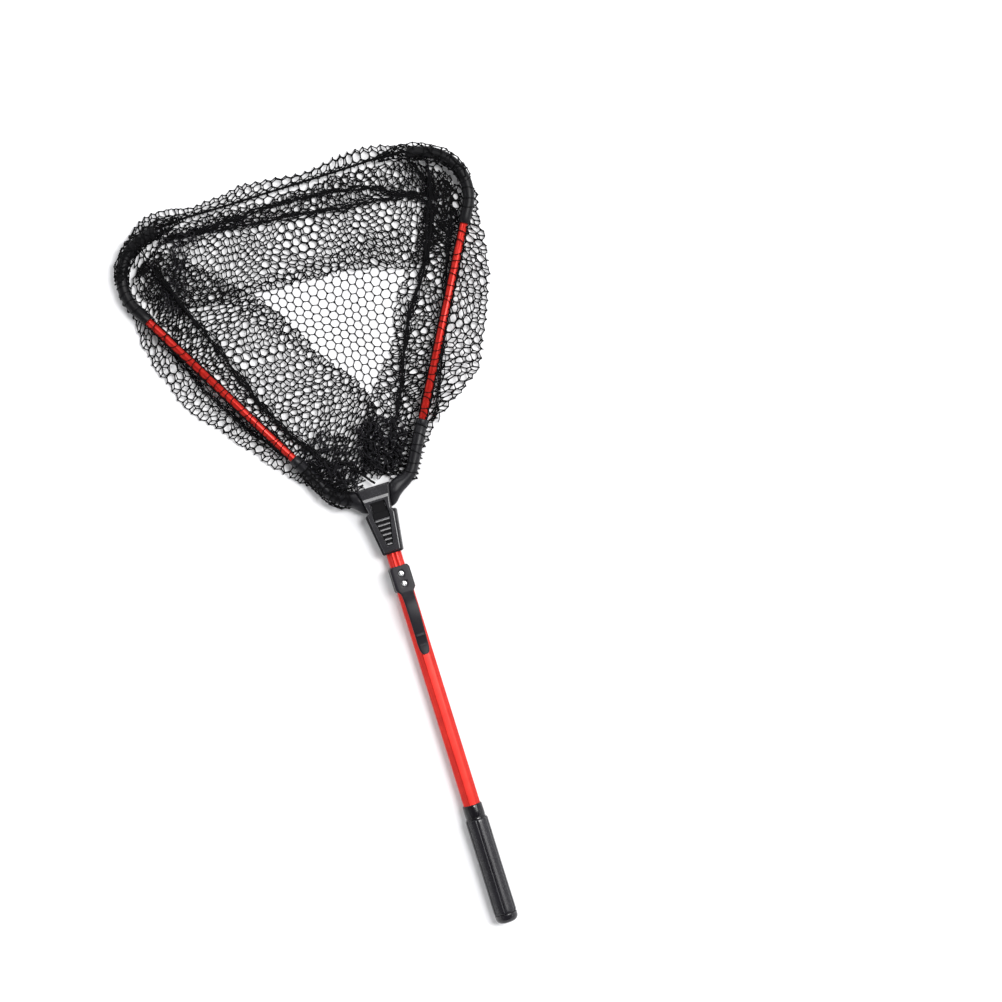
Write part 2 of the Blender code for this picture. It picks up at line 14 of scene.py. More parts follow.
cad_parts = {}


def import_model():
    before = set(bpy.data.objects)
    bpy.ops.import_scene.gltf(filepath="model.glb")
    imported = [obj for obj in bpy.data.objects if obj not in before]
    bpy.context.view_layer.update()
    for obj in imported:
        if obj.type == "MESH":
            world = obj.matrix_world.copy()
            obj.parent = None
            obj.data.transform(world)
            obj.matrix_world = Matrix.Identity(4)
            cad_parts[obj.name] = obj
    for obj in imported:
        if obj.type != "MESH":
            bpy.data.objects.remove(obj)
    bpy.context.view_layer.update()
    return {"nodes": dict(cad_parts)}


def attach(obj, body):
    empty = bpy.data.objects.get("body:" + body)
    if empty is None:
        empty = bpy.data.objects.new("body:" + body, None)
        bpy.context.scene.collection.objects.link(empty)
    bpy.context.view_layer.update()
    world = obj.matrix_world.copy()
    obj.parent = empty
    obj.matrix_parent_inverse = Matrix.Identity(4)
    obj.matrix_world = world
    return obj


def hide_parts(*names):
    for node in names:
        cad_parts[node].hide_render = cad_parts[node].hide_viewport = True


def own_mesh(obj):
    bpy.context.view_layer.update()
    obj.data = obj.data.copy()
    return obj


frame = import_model()
nodes = frame["nodes"]
scene = bpy.context.scene

SHIFT_Y = 71.5
AXIS_Z = 11.75


def world(p):
    """Plan millimetres to row-frame metres."""
    p = np.asarray(p, float)
    return (p + np.array([0.0, SHIFT_Y, 0.0])) * 0.001


# ------------------------------------------------------------------ camera, light, floor
CENTRE = Vector((0.1207, 0.0125, 0.0))
RIGHT = Vector((0.9548, -0.2974, 0.0))
UP = Vector((0.2974, 0.9548, 0.0))

cam_data = bpy.data.cameras.new("camera")
cam_data.sensor_width = 36.0
cam_data.lens = 36.0 * 2.4 / 1.024
cam = bpy.data.objects.new("camera", cam_data)
cam.location = CENTRE + Vector((0, 0, 2.412))
cam.rotation_euler = (0, 0, math.atan2(-UP[0], UP[1]))
scene.collection.objects.link(cam)
scene.camera = cam
scene.view_settings.view_transform = "Standard"
scene.view_settings.look = "None"


def area_light(name, place, target, size, power, colour=(1, 1, 1)):
    d = bpy.data.lights.new(name, "AREA")
    d.shape = "DISK"
    d.size = size
    d.energy = power
    d.color = colour
    o = bpy.data.objects.new(name, d)
    o.location = place
    o.rotation_euler = (Vector(target) - Vector(place)).to_track_quat("-Z", "Y").to_euler()
    scene.collection.objects.link(o)
    return o


aim = Vector((0.0, 0.02, 0.0))
area_light("key", aim + RIGHT * 2.6 + UP * 0.9 + Vector((0, 0, 3.2)), aim, 2.0, 82)
area_light("fill", aim - RIGHT * 2.4 - UP * 1.6 + Vector((0, 0, 3.4)), aim, 2.6, 5)
area_light("over", aim + RIGHT * 1.6 + UP * 0.8 + Vector((0, 0, 4.0)), aim, 1.4, 120)
area_light("back", aim - RIGHT * 0.98 + UP * 3.15 + Vector((0, 0, 2.8)), aim, 1.6, 38)

env = bpy.data.worlds.new("studio")
env.use_nodes = True
env.node_tree.nodes["Background"].inputs["Color"].default_value = (1.0, 1.0, 1.0, 1.0)
env.node_tree.nodes["Background"].inputs["Strength"].default_value = 0.20
scene.world = env


class Tree:
    """A small helper around one material's nodes."""

    def __init__(self, name):
        self.mat = bpy.data.materials.new(name)
        self.mat.use_nodes = True
        self.nt = self.mat.node_tree
        self.bsdf = self.nt.nodes["Principled BSDF"]
        self.coord = self.nt.nodes.new("ShaderNodeTexCoord").outputs["Object"]

    def set(self, **values):
        for k, v in values.items():
            self.bsdf.inputs[k.replace("_", " ")].default_value = v
        return self

    def mapped(self, scale, turn=0.0):
        m = self.nt.nodes.new("ShaderNodeMapping")
        m.inputs["Scale"].default_value = scale
        m.inputs["Rotation"].default_value = (0, 0, turn)
        m.vector_type = "POINT"
        self.nt.links.new(self.coord, m.inputs["Vector"])
        return m.outputs["Vector"]

    def noise(self, scale, detail=3.0, rough=0.55, vec=None):
        n = self.nt.nodes.new("ShaderNodeTexNoise")
        n.inputs["Scale"].default_value = scale
        n.inputs["Detail"].default_value = detail
        n.inputs["Roughness"].default_value = rough
        self.nt.links.new(vec or self.coord, n.inputs["Vector"])
        return n.outputs["Fac"]

    def wave(self, scale, vec, distortion=0.0):
        n = self.nt.nodes.new("ShaderNodeTexWave")
        n.inputs["Scale"].default_value = scale
        n.inputs["Distortion"].default_value = distortion
        self.nt.links.new(vec, n.inputs["Vector"])
        return n.outputs["Fac"]

    def ramp(self, fac, *stops):
        r = self.nt.nodes.new("ShaderNodeValToRGB")
        e = r.color_ramp.elements
        while len(e) < len(stops):
            e.new(0.5)
        for x, (at, c) in zip(e, stops, strict=True):
            x.position = at
            x.color = (*c, 1.0) if hasattr(c, "__len__") else (c, c, c, 1.0)
        self.nt.links.new(fac, r.inputs["Fac"])
        return r.outputs["Color"]

    def span(self, fac, low, high):
        m = self.nt.nodes.new("ShaderNodeMapRange")
        m.inputs["From Min"].default_value = 0.25
        m.inputs["From Max"].default_value = 0.75
        m.inputs["To Min"].default_value = low
        m.inputs["To Max"].default_value = high
        self.nt.links.new(fac, m.inputs["Value"])
        return m.outputs["Result"]

    def add(self, a, b, share):
        m = self.nt.nodes.new("ShaderNodeMix")
        m.inputs["Factor"].default_value = share
        self.nt.links.new(a, m.inputs["A"])
        self.nt.links.new(b, m.inputs["B"])
        return m.outputs["Result"]

    def into(self, socket, value):
        self.nt.links.new(value, self.bsdf.inputs[socket])
        return self

    def bump(self, height, distance, strength=1.0):
        b = self.nt.nodes.new("ShaderNodeBump")
        b.inputs["Distance"].default_value = distance
        b.inputs["Strength"].default_value = strength
        self.nt.links.new(height, b.inputs["Height"])
        self.nt.links.new(b.outputs["Normal"], self.bsdf.inputs["Normal"])
        return self


def stage_plane():
    t = Tree("floor_paper").set(Roughness=0.9, Specular_IOR_Level=0.1)
    t.into("Base Color", t.ramp(t.noise(3.0), (0.3, (0.90, 0.90, 0.915)), (0.7, (0.925, 0.925, 0.935))))
    bm = bmesh.new()
    bmesh.ops.create_grid(bm, x_segments=1, y_segments=1, size=14)
    me = bpy.data.meshes.new("floor")
    bm.to_mesh(me)
    bm.free()
    o = bpy.data.objects.new("floor", me)
    o.location = (0, 0, -0.0004)
    me.materials.append(t.mat)
    scene.collection.objects.link(o)
    return o


def stage_wall():
    """A pale wall far round the set, so that low views meet white and not the sky."""
    t = Tree("wall_paper").set(Roughness=1.0, Emission_Strength=0.55)
    c = t.ramp(t.noise(0.6), (0.3, (0.93, 0.93, 0.94)), (0.7, (0.95, 0.95, 0.955)))
    t.into("Base Color", c).into("Emission Color", c)
    bm = bmesh.new()
    bmesh.ops.create_cone(bm, cap_ends=False, segments=64, radius1=9, radius2=9, depth=6)
    me = bpy.data.meshes.new("wall")
    bm.to_mesh(me)
    bm.free()
    o = bpy.data.objects.new("wall", me)
    o.location = (0, 0, 2.95)
    me.materials.append(t.mat)
    scene.collection.objects.link(o)
    return o


floor = stage_plane()
stage_wall()

# ------------------------------------------------------------------ finishes


def moulded(name, colour, rough, grain=2200.0, depth=0.00005, spec=0.35):
    """Black moulded plastic: fine spark-eroded grain, faint flow marks, uneven sheen."""
    t = Tree(name).set(Specular_IOR_Level=spec)
    flow = t.noise(55.0, 4.0, 0.6)
    fine = t.noise(grain, 2.0, 0.6)
    dark = tuple(0.72 * c for c in colour)
    light = tuple(1.35 * c for c in colour)
    t.into("Base Color", t.ramp(t.add(flow, fine, 0.4), (0.3, dark), (0.7, light)))
    t.into("Roughness", t.span(t.add(flow, fine, 0.5), rough - 0.07, rough + 0.09))
    return t.bump(fine, depth, 0.6).mat


def anodised(name, turn, share=1.0):
    """Red anodised aluminium with drawing lines along the tube and small scuffs."""
    t = Tree(name).set(Metallic=0.5, Specular_IOR_Level=0.3, Coat_Weight=0.06, Coat_Roughness=0.15)
    drawn = t.noise(1.0, 3.0, 0.6, t.mapped((2600, 14, 2600), turn))
    blot = t.noise(70.0, 3.0, 0.6)
    scuff = t.noise(1.0, 2.0, 0.7, t.mapped((900, 160, 900), turn))
    stops = ((0.34, (0.36, 0.008, 0.005)), (0.52, (0.58, 0.016, 0.009)), (0.72, (0.74, 0.036, 0.021)))
    base = t.ramp(t.add(drawn, blot, 0.3), *((at, tuple(share * c for c in rgb)) for at, rgb in stops))
    t.into("Base Color", base)
    t.into("Roughness", t.span(t.add(drawn, scuff, 0.5), 0.24, 0.42))
    return t.bump(drawn, 0.000018, 0.5).mat


def steel(name, colour, rough):
    t = Tree(name).set(Metallic=1.0)
    brushed = t.noise(1.0, 3.0, 0.6, t.mapped((3200, 500, 3200)))
    spots = t.noise(600.0, 3.0)
    t.into("Base Color", t.ramp(spots, (0.3, tuple(0.82 * c for c in colour)), (0.7, colour)))
    t.into("Roughness", t.span(t.add(brushed, spots, 0.5), rough - 0.05, rough + 0.1))
    return t.bump(brushed, 0.00001, 0.4).mat


def twine(name, colour, turn=0.0, pitch=900.0):
    """Twisted black nylon: lay of the twine as bump, dull fibres."""
    t = Tree(name).set(Specular_IOR_Level=0.06)
    lay = t.wave(pitch, t.mapped((1, 1, 1), turn), 2.0)
    fuzz = t.noise(3200.0, 2.0)
    patch = t.noise(90.0, 3.0)
    dark = tuple(0.6 * c for c in colour)
    light = tuple(1.7 * c for c in colour)
    t.into("Base Color", t.ramp(t.add(patch, fuzz, 0.5), (0.3, dark), (0.7, light)))
    t.into("Roughness", t.span(patch, 0.55, 0.78))
    return t.bump(t.add(lay, fuzz, 0.4), 0.00012, 0.7).mat


NYLON = moulded("black_nylon", (0.0058, 0.0056, 0.0074), 0.38, 2200.0, 0.00005, 0.22)
NYLON_TOP = moulded("black_nylon_cover", (0.0090, 0.0086, 0.0116), 0.22, 1800.0, 0.00003, 1.0)
CLIP_BLACK = moulded("black_clip", (0.0115, 0.0104, 0.0136), 0.38, 1500.0, 0.00004, 0.16)
GRIP = moulded("black_grip", (0.0026, 0.0022, 0.0050), 0.27, 1300.0, 0.00004, 0.52)
GLOSS = moulded("gloss_black", (0.0060, 0.0054, 0.0078), 0.12, 600.0, 0.00001, 0.5)
COLLAR = moulded("gloss_black_collar", (0.0040, 0.0034, 0.0052), 0.14, 600.0, 0.00001, 0.35)
# a darker and rougher copy of the cover's black nylon: the rougher surface is real, the darker colour is painted shade
# for the recess round the thumb slide
PAINTED_RECESS_SHADE = moulded("black_nylon_painted_recess_shade", (0.0030, 0.0028, 0.0036), 0.55, 2200.0, 0.00005, 0.12)
BOW_BLACK = moulded("black_bow", (0.0036, 0.0035, 0.0044), 0.42, 1600.0, 0.00005, 0.16)
RED_HANDLE = anodised("red_handle", 0.0)
RED_LEFT = anodised("red_arm_left", math.radians(-29.3), 0.8)
RED_RIGHT = anodised("red_arm_right", math.radians(29.3), 0.8)
BRIGHT = steel("bright_steel", (0.86, 0.87, 0.88), 0.17)
SPRING = steel("spring_steel", (0.5, 0.51, 0.53), 0.32)
TWINE = twine("net_twine", (0.0030, 0.0030, 0.0034))
BUNCH = twine("bunch_twine", (0.0120, 0.0118, 0.0136))
HEM = twine("hem_twine", (0.0036, 0.0036, 0.0042), 0.6, 700.0)
CORD = twine("cord_braid", (0.0034, 0.0034, 0.0038), 0.9, 1100.0)

# ------------------------------------------------------------------ mesh helpers


def finish_mesh(obj, mat, body, replaced=(), sharp=38.0):
    obj.data.materials.clear()
    obj.data.materials.append(mat)
    obj.data.shade_smooth()
    if sharp:
        obj.data.set_sharp_from_angle(angle=math.radians(sharp))
    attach(obj, body)
    if replaced:
        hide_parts(*replaced)
    return obj


def new_object(name, mesh):
    o = bpy.data.objects.new(name, mesh)
    scene.collection.objects.link(o)
    return o


def bulk(name, verts, quads=None, tris=None):
    """A mesh from large arrays, verts in metres."""
    me = bpy.data.meshes.new(name)
    verts = np.asarray(verts, np.float32).reshape(-1, 3)
    sets = [np.asarray(f, np.int32) for f in (quads, tris) if f is not None and len(f)]
    flat = np.concatenate([f.ravel() for f in sets])
    counts = np.concatenate([np.full(len(f), f.shape[1], np.int32) for f in sets])
    starts = np.concatenate([[0], np.cumsum(counts)[:-1]]).astype(np.int32)
    me.vertices.add(len(verts))
    me.vertices.foreach_set("co", verts.ravel())
    me.loops.add(len(flat))
    me.loops.foreach_set("vertex_index", flat)
    me.polygons.add(len(counts))
    me.polygons.foreach_set("loop_start", starts)
    me.update(calc_edges=True)
    me.validate()
    return new_object(name, me)


def rings_object(name, rings, loop=False):
    """A closed body through rings of equal numbers of points (plan millimetres)."""
    bm = bmesh.new()
    made = [[bm.verts.new(p) for p in world(ring)] for ring in rings]
    n = len(made[0])
    pairs = list(zip(made, made[1:], strict=False))
    if loop:
        pairs.append((made[-1], made[0]))
    for a, b in pairs:
        for i in range(n):
            bm.faces.new((a[i], a[(i + 1) % n], b[(i + 1) % n], b[i]))
    if not loop:
        bm.faces.new(made[0][::-1])
        bm.faces.new(made[-1])
    bmesh.ops.recalc_face_normals(bm, faces=bm.faces)
    me = bpy.data.meshes.new(name)
    bm.to_mesh(me)
    bm.free()
    return new_object(name, me)


def cut(obj, cutter, how="DIFFERENCE"):
    m = obj.modifiers.new("cut", "BOOLEAN")
    m.operation = how
    m.object = cutter
    m.solver = "EXACT"
    bpy.context.view_layer.update()
    me = bpy.data.meshes.new_from_object(obj.evaluated_get(bpy.context.evaluated_depsgraph_get()))
    obj.modifiers.clear()
    obj.data = me
    bpy.data.objects.remove(cutter, do_unlink=True)
    return obj


def soften(obj, width, segments=2, deg=35):
    """Rounds the edges of a body for good, width in millimetres."""
    b = obj.modifiers.new("edges", "BEVEL")
    b.width = width * 0.001
    b.segments = segments
    b.limit_method = "ANGLE"
    b.angle_limit = math.radians(deg)
    bpy.context.view_layer.update()
    me = bpy.data.meshes.new_from_object(obj.evaluated_get(bpy.context.evaluated_depsgraph_get()))
    obj.modifiers.clear()
    obj.data = me
    return obj


def circle(n, radius, turn=0.0):
    a = np.linspace(0, 2 * np.pi, n, endpoint=False) + turn
    return np.stack([np.cos(a), np.sin(a)], 1) * radius


def along_y(profile, y, turn=0.0):
    """A cross-section (x, z about the handle's axis) placed at y."""
    c, s = math.cos(turn), math.sin(turn)
    x = profile[:, 0] * c + profile[:, 1] * s
    z = -profile[:, 0] * s + profile[:, 1] * c
    return np.stack([x, np.full(len(x), y), z + AXIS_Z], 1)


def rounded_octagon(apothem, radius, steps=5):
    """Eight flats with rounded corners, one flat on top."""
    pts = []
    inner = apothem - radius
    corner = inner / math.cos(math.pi / 8)
    for k in range(8):
        mid = math.radians(22.5 + 45 * k)
        c = np.array([math.sin(mid), math.cos(mid)]) * corner
        for j in range(steps + 1):
            a = math.radians(45 * k + 45 * j / steps)
            pts.append(c + radius * np.array([math.sin(a), math.cos(a)]))
    return np.array(pts)


def smooth_curve(xs, ys):
    """A cubic through control points, with slopes from their neighbours."""
    xs, ys = np.asarray(xs, float), np.asarray(ys, float)
    m = np.gradient(ys, xs)

    def f(x):
        x = np.clip(np.asarray(x, float), xs[0], xs[-1])
        k = np.clip(np.searchsorted(xs, x) - 1, 0, len(xs) - 2)
        h = xs[k + 1] - xs[k]
        t = (x - xs[k]) / h
        return (
            (2 * t**3 - 3 * t**2 + 1) * ys[k]
            + (t**3 - 2 * t**2 + t) * h * m[k]
            + (-2 * t**3 + 3 * t**2) * ys[k + 1]
            + (t**3 - t**2) * h * m[k + 1]
        )

    return f


def curve(*pairs):
    return smooth_curve([p[0] for p in pairs], [p[1] for p in pairs])


def spline(points, n):
    """n points on a smooth line through points of any dimension, evenly spaced."""
    p = np.asarray(points, float)
    s = np.concatenate([[0], np.cumsum(np.linalg.norm(np.diff(p, axis=0), axis=1))])
    fine = np.linspace(0, s[-1], 40 * len(p))
    q = np.stack([smooth_curve(s, p[:, k])(fine) for k in range(p.shape[1])], 1)
    r = np.concatenate([[0], np.cumsum(np.linalg.norm(np.diff(q, axis=0), axis=1))])
    even = np.linspace(0, r[-1], n)
    return np.stack([np.interp(even, r, q[:, k]) for k in range(p.shape[1])], 1)


# ------------------------------------------------------------------ handle
TURN = math.radians(9.0)


def tube_body(name, outer, inner, y0, y1, mat, body, node):
    rings = [
        along_y(inner, y0, TURN),
        along_y(outer * (1 - 0.25 / 8), y0, TURN),
        along_y(outer, y0 - 0.3, TURN),
        along_y(outer, y1 + 0.3, TURN),
        along_y(outer * (1 - 0.25 / 8), y1, TURN),
        along_y(inner, y1, TURN),
    ]
    return finish_mesh(rings_object(name, rings, loop=True), mat, body, [node])


tube_body(
    "outer_tube_shell",
    rounded_octagon(8.6, 1.5),
    rounded_octagon(7.95, 0.9),
    -94.3,
    -458.0,
    RED_HANDLE,
    "handle",
    "outer_tube",
)


def fluted(apothem):
    """The sliding tube's section: eight flats, each with a shallow groove."""
    p = rounded_octagon(apothem, 1.2, 15)
    fine = []
    for a, b in zip(p, np.roll(p, -1, axis=0), strict=True):
        fine += [a + (b - a) * t for t in (np.linspace(0, 1, 8, endpoint=False) if np.linalg.norm(b - a) > 2 else (0.0,))]
    p = np.array(fine)
    r = np.linalg.norm(p, axis=1)
    ang = np.degrees(np.arctan2(p[:, 0], p[:, 1])) % 45
    off = np.minimum(ang, 45 - ang) * math.pi / 180 * r
    return p * (1 - 0.30 * np.clip(1 - (off / 0.8) ** 2, 0, 1) / r)[:, None]


flute = fluted(7.6)
tube_body(
    "inner_tube_shell",
    flute,
    flute * (6.5 / 7.6),
    -37.7,
    -440.0,
    RED_HANDLE,
    "head",
    "inner_tube",
)


def lobed(radius, n=240):
    """The grip's section: six broad lobes parted by narrow grooves."""
    a = np.linspace(0, 2 * np.pi, n, endpoint=False)
    k = np.abs(np.sin(a * 3))
    r = radius - 1.05 * np.clip(1 - k / 0.4, 0, 1) ** 1.5
    b = a + math.pi / 2 + math.radians(6.0)
    return np.stack([r * np.cos(b), r * np.sin(b)], 1)


sleeve = lobed(11.75)
bore = circle(240, 9.25, math.pi / 2 + math.radians(6.0))
rings = [along_y(bore, -361.3, TURN)]
for back, share in ((0.0, 0.925), (0.25, 0.955), (0.7, 0.98), (1.4, 0.995), (2.4, 1.0)):
    rings.append(along_y(sleeve * share, -361.3 - back, TURN))
for y in np.linspace(-366, -457, 14):
    rings.append(along_y(sleeve * (1 - 0.012 * math.sin((y + 361) / 101 * math.pi) ** 2), y, TURN))
for back, share in ((2.4, 1.0), (1.4, 0.995), (0.7, 0.98), (0.25, 0.955), (0.0, 0.925)):
    rings.append(along_y(sleeve * share, -462 + back, TURN))
rings.append(along_y(bore, -462, TURN))
finish_mesh(rings_object("grip_sleeve_lobes", rings, loop=True), GRIP, "handle", ["grip_sleeve"], 60)


def lathe_y(name, profile, n=72):
    """A closed profile of (radius, y) turned about the handle's axis; radius 0 is a pole."""
    return rings_object(name, [along_y(circle(n, max(r, 1e-3)), y) for r, y in profile])


def lathe_y_ring(name, profile, n=72):
    return rings_object(name, [along_y(circle(n, r), y) for r, y in profile], loop=True)


collar = [
    (9.25, -346.0),
    (9.55, -346.0),
    (9.8, -346.15),
    (10.05, -346.6),
    (10.15, -347.2),
    (10.2, -349.0),
    (10.3, -353.0),
    (10.3, -358.6),
    (10.15, -359.0),
    (9.95, -359.15),
    (9.95, -359.6),
    (10.2, -359.8),
    (10.3, -360.1),
    (10.3, -361.25),
    (9.25, -361.25),
]
finish_mesh(lathe_y_ring("grip_collar_ring", collar), COLLAR, "handle", ["grip_collar"], 50)

cap = [(7.4, -450.3), (7.4, -462.3), (11.2, -462.3), (11.45, -462.45), (11.55, -462.8), (11.55, -463.4)]
for i in range(0, 15):
    a = math.radians(90 * i / 14)
    cap.append((6.0 + 5.5 * math.cos(a), -465.6 - 6.0 * math.sin(a)))
cap += [(4.0, -471.85), (2.0, -472.0), (0.02, -472.0)]
cap.insert(0, (0.02, -450.3))
finish_mesh(lathe_y("grip_end_dome", cap), GLOSS, "handle", ["grip_end_cap"], 50)

# belt clip, lofted along the handle
CLIP_Z, CLIP_T = 23.55, 1.9
clip_y = [-91.0, -92.4, -94.0, -100, -106, -112.4, -115.0, -117.2, -119.2, -121.0, -122.8, -126.0, -131.0, -135, -139.0]
clip_z = [0, 0, 0, 0, 0, 0, 0, 0.03, 0.25, 0.85, 1.6, 2.9, 3.85, 4.1, 4.2]
clip_w = [7.4, 8.9, 10.0, 10.0, 10.0, 10.0, 10.0, 8.4, 6.9, 6.35, 6.15, 6.05, 6.0, 6.0, 5.95]
clip_y += [-144, -149.0, -154, -158.0, -162.0, -165.0, -168.0, -171.0, -174.0, -176.0, -178.0, -180.5, -182.5, -184.2, -185.0]
clip_z += [3.9, 3.4, 2.55, 1.7, 0.75, 0.0, -0.75, -1.4, -1.9, -2.1, -2.18, -2.2, -2.2, -2.15, -2.1]
clip_w += [5.9, 5.8, 5.7, 5.65, 5.55, 5.5, 5.45, 5.4, 5.35, 5.25, 5.05, 4.7, 4.1, 3.1, 2.2]
rings = []
for y, z, w in zip(clip_y, clip_z, clip_w, strict=True):
    crown = 0.22 if y < -120 else 0.1
    section = []
    for i in range(9):  # underside, left to right
        section.append((-w + 2 * w * i / 8, 0.0))
    section += [(w + 0.12, 0.3), (w + 0.12, CLIP_T - 0.55), (w - 0.1, CLIP_T - 0.18)]
    for i in range(9):
        x = w - 0.4 - 2 * (w - 0.4) * i / 8
        section.append((x, CLIP_T + crown * (1 - (x / w) ** 2)))
    section += [(-w + 0.1, CLIP_T - 0.18), (-w - 0.12, CLIP_T - 0.55), (-w - 0.12, 0.3)]
    rings.append(np.array([(x, y, CLIP_Z + z + h) for x, h in section]))
clip = rings_object("belt_clip_strip", rings)


def rod_z(name, x, y, z0, z1, radius, n=40, top=None):
    """A round bar upright at (x, y), as a cutter or a body."""
    low = np.concatenate([circle(n, radius) + (x, y), np.full((n, 1), z0)], 1)
    high = np.concatenate([circle(n, top or radius) + (x, y), np.full((n, 1), z1)], 1)
    return rings_object(name, [low, high])


for y in (-99.1, -109.7):
    cut(clip, rod_z("sink", 0, y, CLIP_Z + 0.75, CLIP_Z + 4, 3.45, 40, 3.9))
    cut(clip, rod_z("hole", 0, y, CLIP_Z - 1, CLIP_Z + 2, 1.75, 24))
soften(clip, 0.22, 2, 40)
for y, top, reach in ((-165.0, 25.8, 3.9), (-175.1, 23.6, 3.3)):  # two low ridges across the tongue
    ridge = [(1.1, 0.0), (0.0, 0.45), (-0.25, 0.45), (-0.5, -0.35), (-0.5, -1.2), (1.1, -0.9)]
    cut(clip, rings_object("ridge", [np.array([(x, y + a, top + b) for a, b in ridge]) for x in (-reach, reach)]), "UNION")

# the clip sits on a flat of the outer tube, so it's turned with the tube
ROLL = Matrix.Translation((0, 0, AXIS_Z * 0.001)) @ Matrix.Rotation(TURN, 4, "Y") @ Matrix.Translation((0, 0, -AXIS_Z * 0.001))
clip.data.transform(ROLL)
finish_mesh(clip, CLIP_BLACK, "handle", ["belt_clip"], 40)


def cross_screw(name, y, turn, node):
    """A bright pan-head screw with a cross recess, sunk in the clip."""
    base = CLIP_Z + 0.85
    profile = [(0.01, -3.4), (1.2, -3.2), (1.4, -2.6), (1.4, 0), (2.95, 0), (3.0, 0.2), (2.98, 0.55)]
    profile += [(2.8, 0.95), (2.4, 1.3), (1.8, 1.52), (1.0, 1.66), (0.01, 1.7)]
    rings = [
        np.concatenate([circle(48, r) + (0, y), np.full((48, 1), base + h)], 1)
        for r, h in profile
    ]
    o = rings_object(name, rings)
    for k in range(2):
        c, s = math.cos(turn + k * math.pi / 2), math.sin(turn + k * math.pi / 2)
        slab = []
        for z, l, w in ((base + 0.75, 1.0, 0.24), (base + 2.5, 2.2, 0.52)):
            slab.append(
                np.array([(c * p - s * q, y + s * p + c * q, z) for p, q in ((-l, -w), (l, -w), (l, w), (-l, w))])
            )
        cut(o, rings_object("slot", slab))
    o.data.transform(ROLL)
    return finish_mesh(o, BRIGHT, "handle", [node], 32)


cross_screw("clip_screw_front_head", -99.1, 0.5, "clip_screw_front")
cross_screw("clip_screw_rear_head", -109.7, 1.05, "clip_screw_rear")

# ------------------------------------------------------------------ arms
SEAM, ARM = math.radians(13.3), math.radians(29.3)
U = np.array([math.cos(SEAM), -math.sin(SEAM)])  # right hinge axis, out of the yoke
E = np.array([math.sin(ARM), math.cos(ARM)])  # right arm's direction
TIP = np.array([math.sin(math.radians(-72.0)), math.cos(math.radians(-72.0))])
H = np.array([14.48, -9.0])
ROOT_BEND, STUB, STRAIGHT, ROOT_R = 23.8, 4.0, 49.8, 6.25
TURN_ROOT = math.radians(90 + 13.3 - 29.3)


def left_of(d):
    return np.array([-d[1], d[0]])


def heading(deg):
    return np.array([math.sin(math.radians(deg)), math.cos(math.radians(deg))])


ROOT_C = H + U * STUB + left_of(U) * ROOT_BEND
ROOT_ARC_END = ROOT_C - left_of(E) * ROOT_BEND
ROOT_END = ROOT_ARC_END + E * STRAIGHT
BOW_START = ROOT_END + E * 204.0
BOW_S0 = BOW_START + E * 18.0
BOW_C = BOW_S0 + left_of(E) * 46.0
BOW_ARC_END = BOW_C - left_of(TIP) * 46.0
BOW_TIP = BOW_ARC_END + TIP * 18.0
END_RUN = STUB + ROOT_BEND * TURN_ROOT - 0.2

st = np.array(
    [
        (2.65, -9.6, 13.0, 9.4),
        (6.0, -6.9, 12.1, 9.3),
        (9.0, -3.3, 9.9, 8.9),
        (12.5, -1.15, 8.45, 8.2),
        (18.0, -0.2, 7.2, 7.2),
        (25.0, 0.0, 6.5, 6.6),
        (34.0, 0.0, 6.25, 6.25),
        (60.0, 0.0, 6.25, 6.25),
        (120.0, 0.0, 6.25, 6.25),
    ]
)
root_shift, root_half, root_high = (smooth_curve(st[:, 0], st[:, k]) for k in (1, 2, 3))


def root_path(s):
    """Place and direction at a run s along the right arm root's centre line."""
    s += 0.2
    if s <= STUB:
        return H + U * s, U
    if s <= STUB + ROOT_BEND * TURN_ROOT:
        d = heading(90 + 13.3 - math.degrees((s - STUB) / ROOT_BEND))
        return ROOT_C - left_of(d) * ROOT_BEND, d
    return ROOT_ARC_END + E * (s - STUB - ROOT_BEND * TURN_ROOT), E


def section_at(place, d, pts, side):
    """Points (across, up) set square to a direction in the plan, mirrored for the left."""
    across = left_of(d)
    xy = place + pts[:, :1] * across
    return np.stack([xy[:, 0] * side, xy[:, 1], AXIS_Z + pts[:, 1]], 1)


def root_section(s, inset=0.0, n=56):
    a = np.linspace(0, 2 * np.pi, n, endpoint=False)
    c, e = np.cos(a), np.sin(a)
    p = 2.0 + 1.0 * max(0.0, 1 - s / 18)
    half, high = float(root_half(s)) - inset, float(root_high(s)) - inset
    w = np.sign(c) * np.abs(c) ** (2 / p) * half + float(root_shift(s))
    h = np.sign(e) * np.abs(e) ** (2 / p) * high
    thin = 1 - 0.62 * np.clip((-8 - w) / 13, 0, 1)
    return np.stack([w, np.where(w < -8, h * thin, h)], 1)


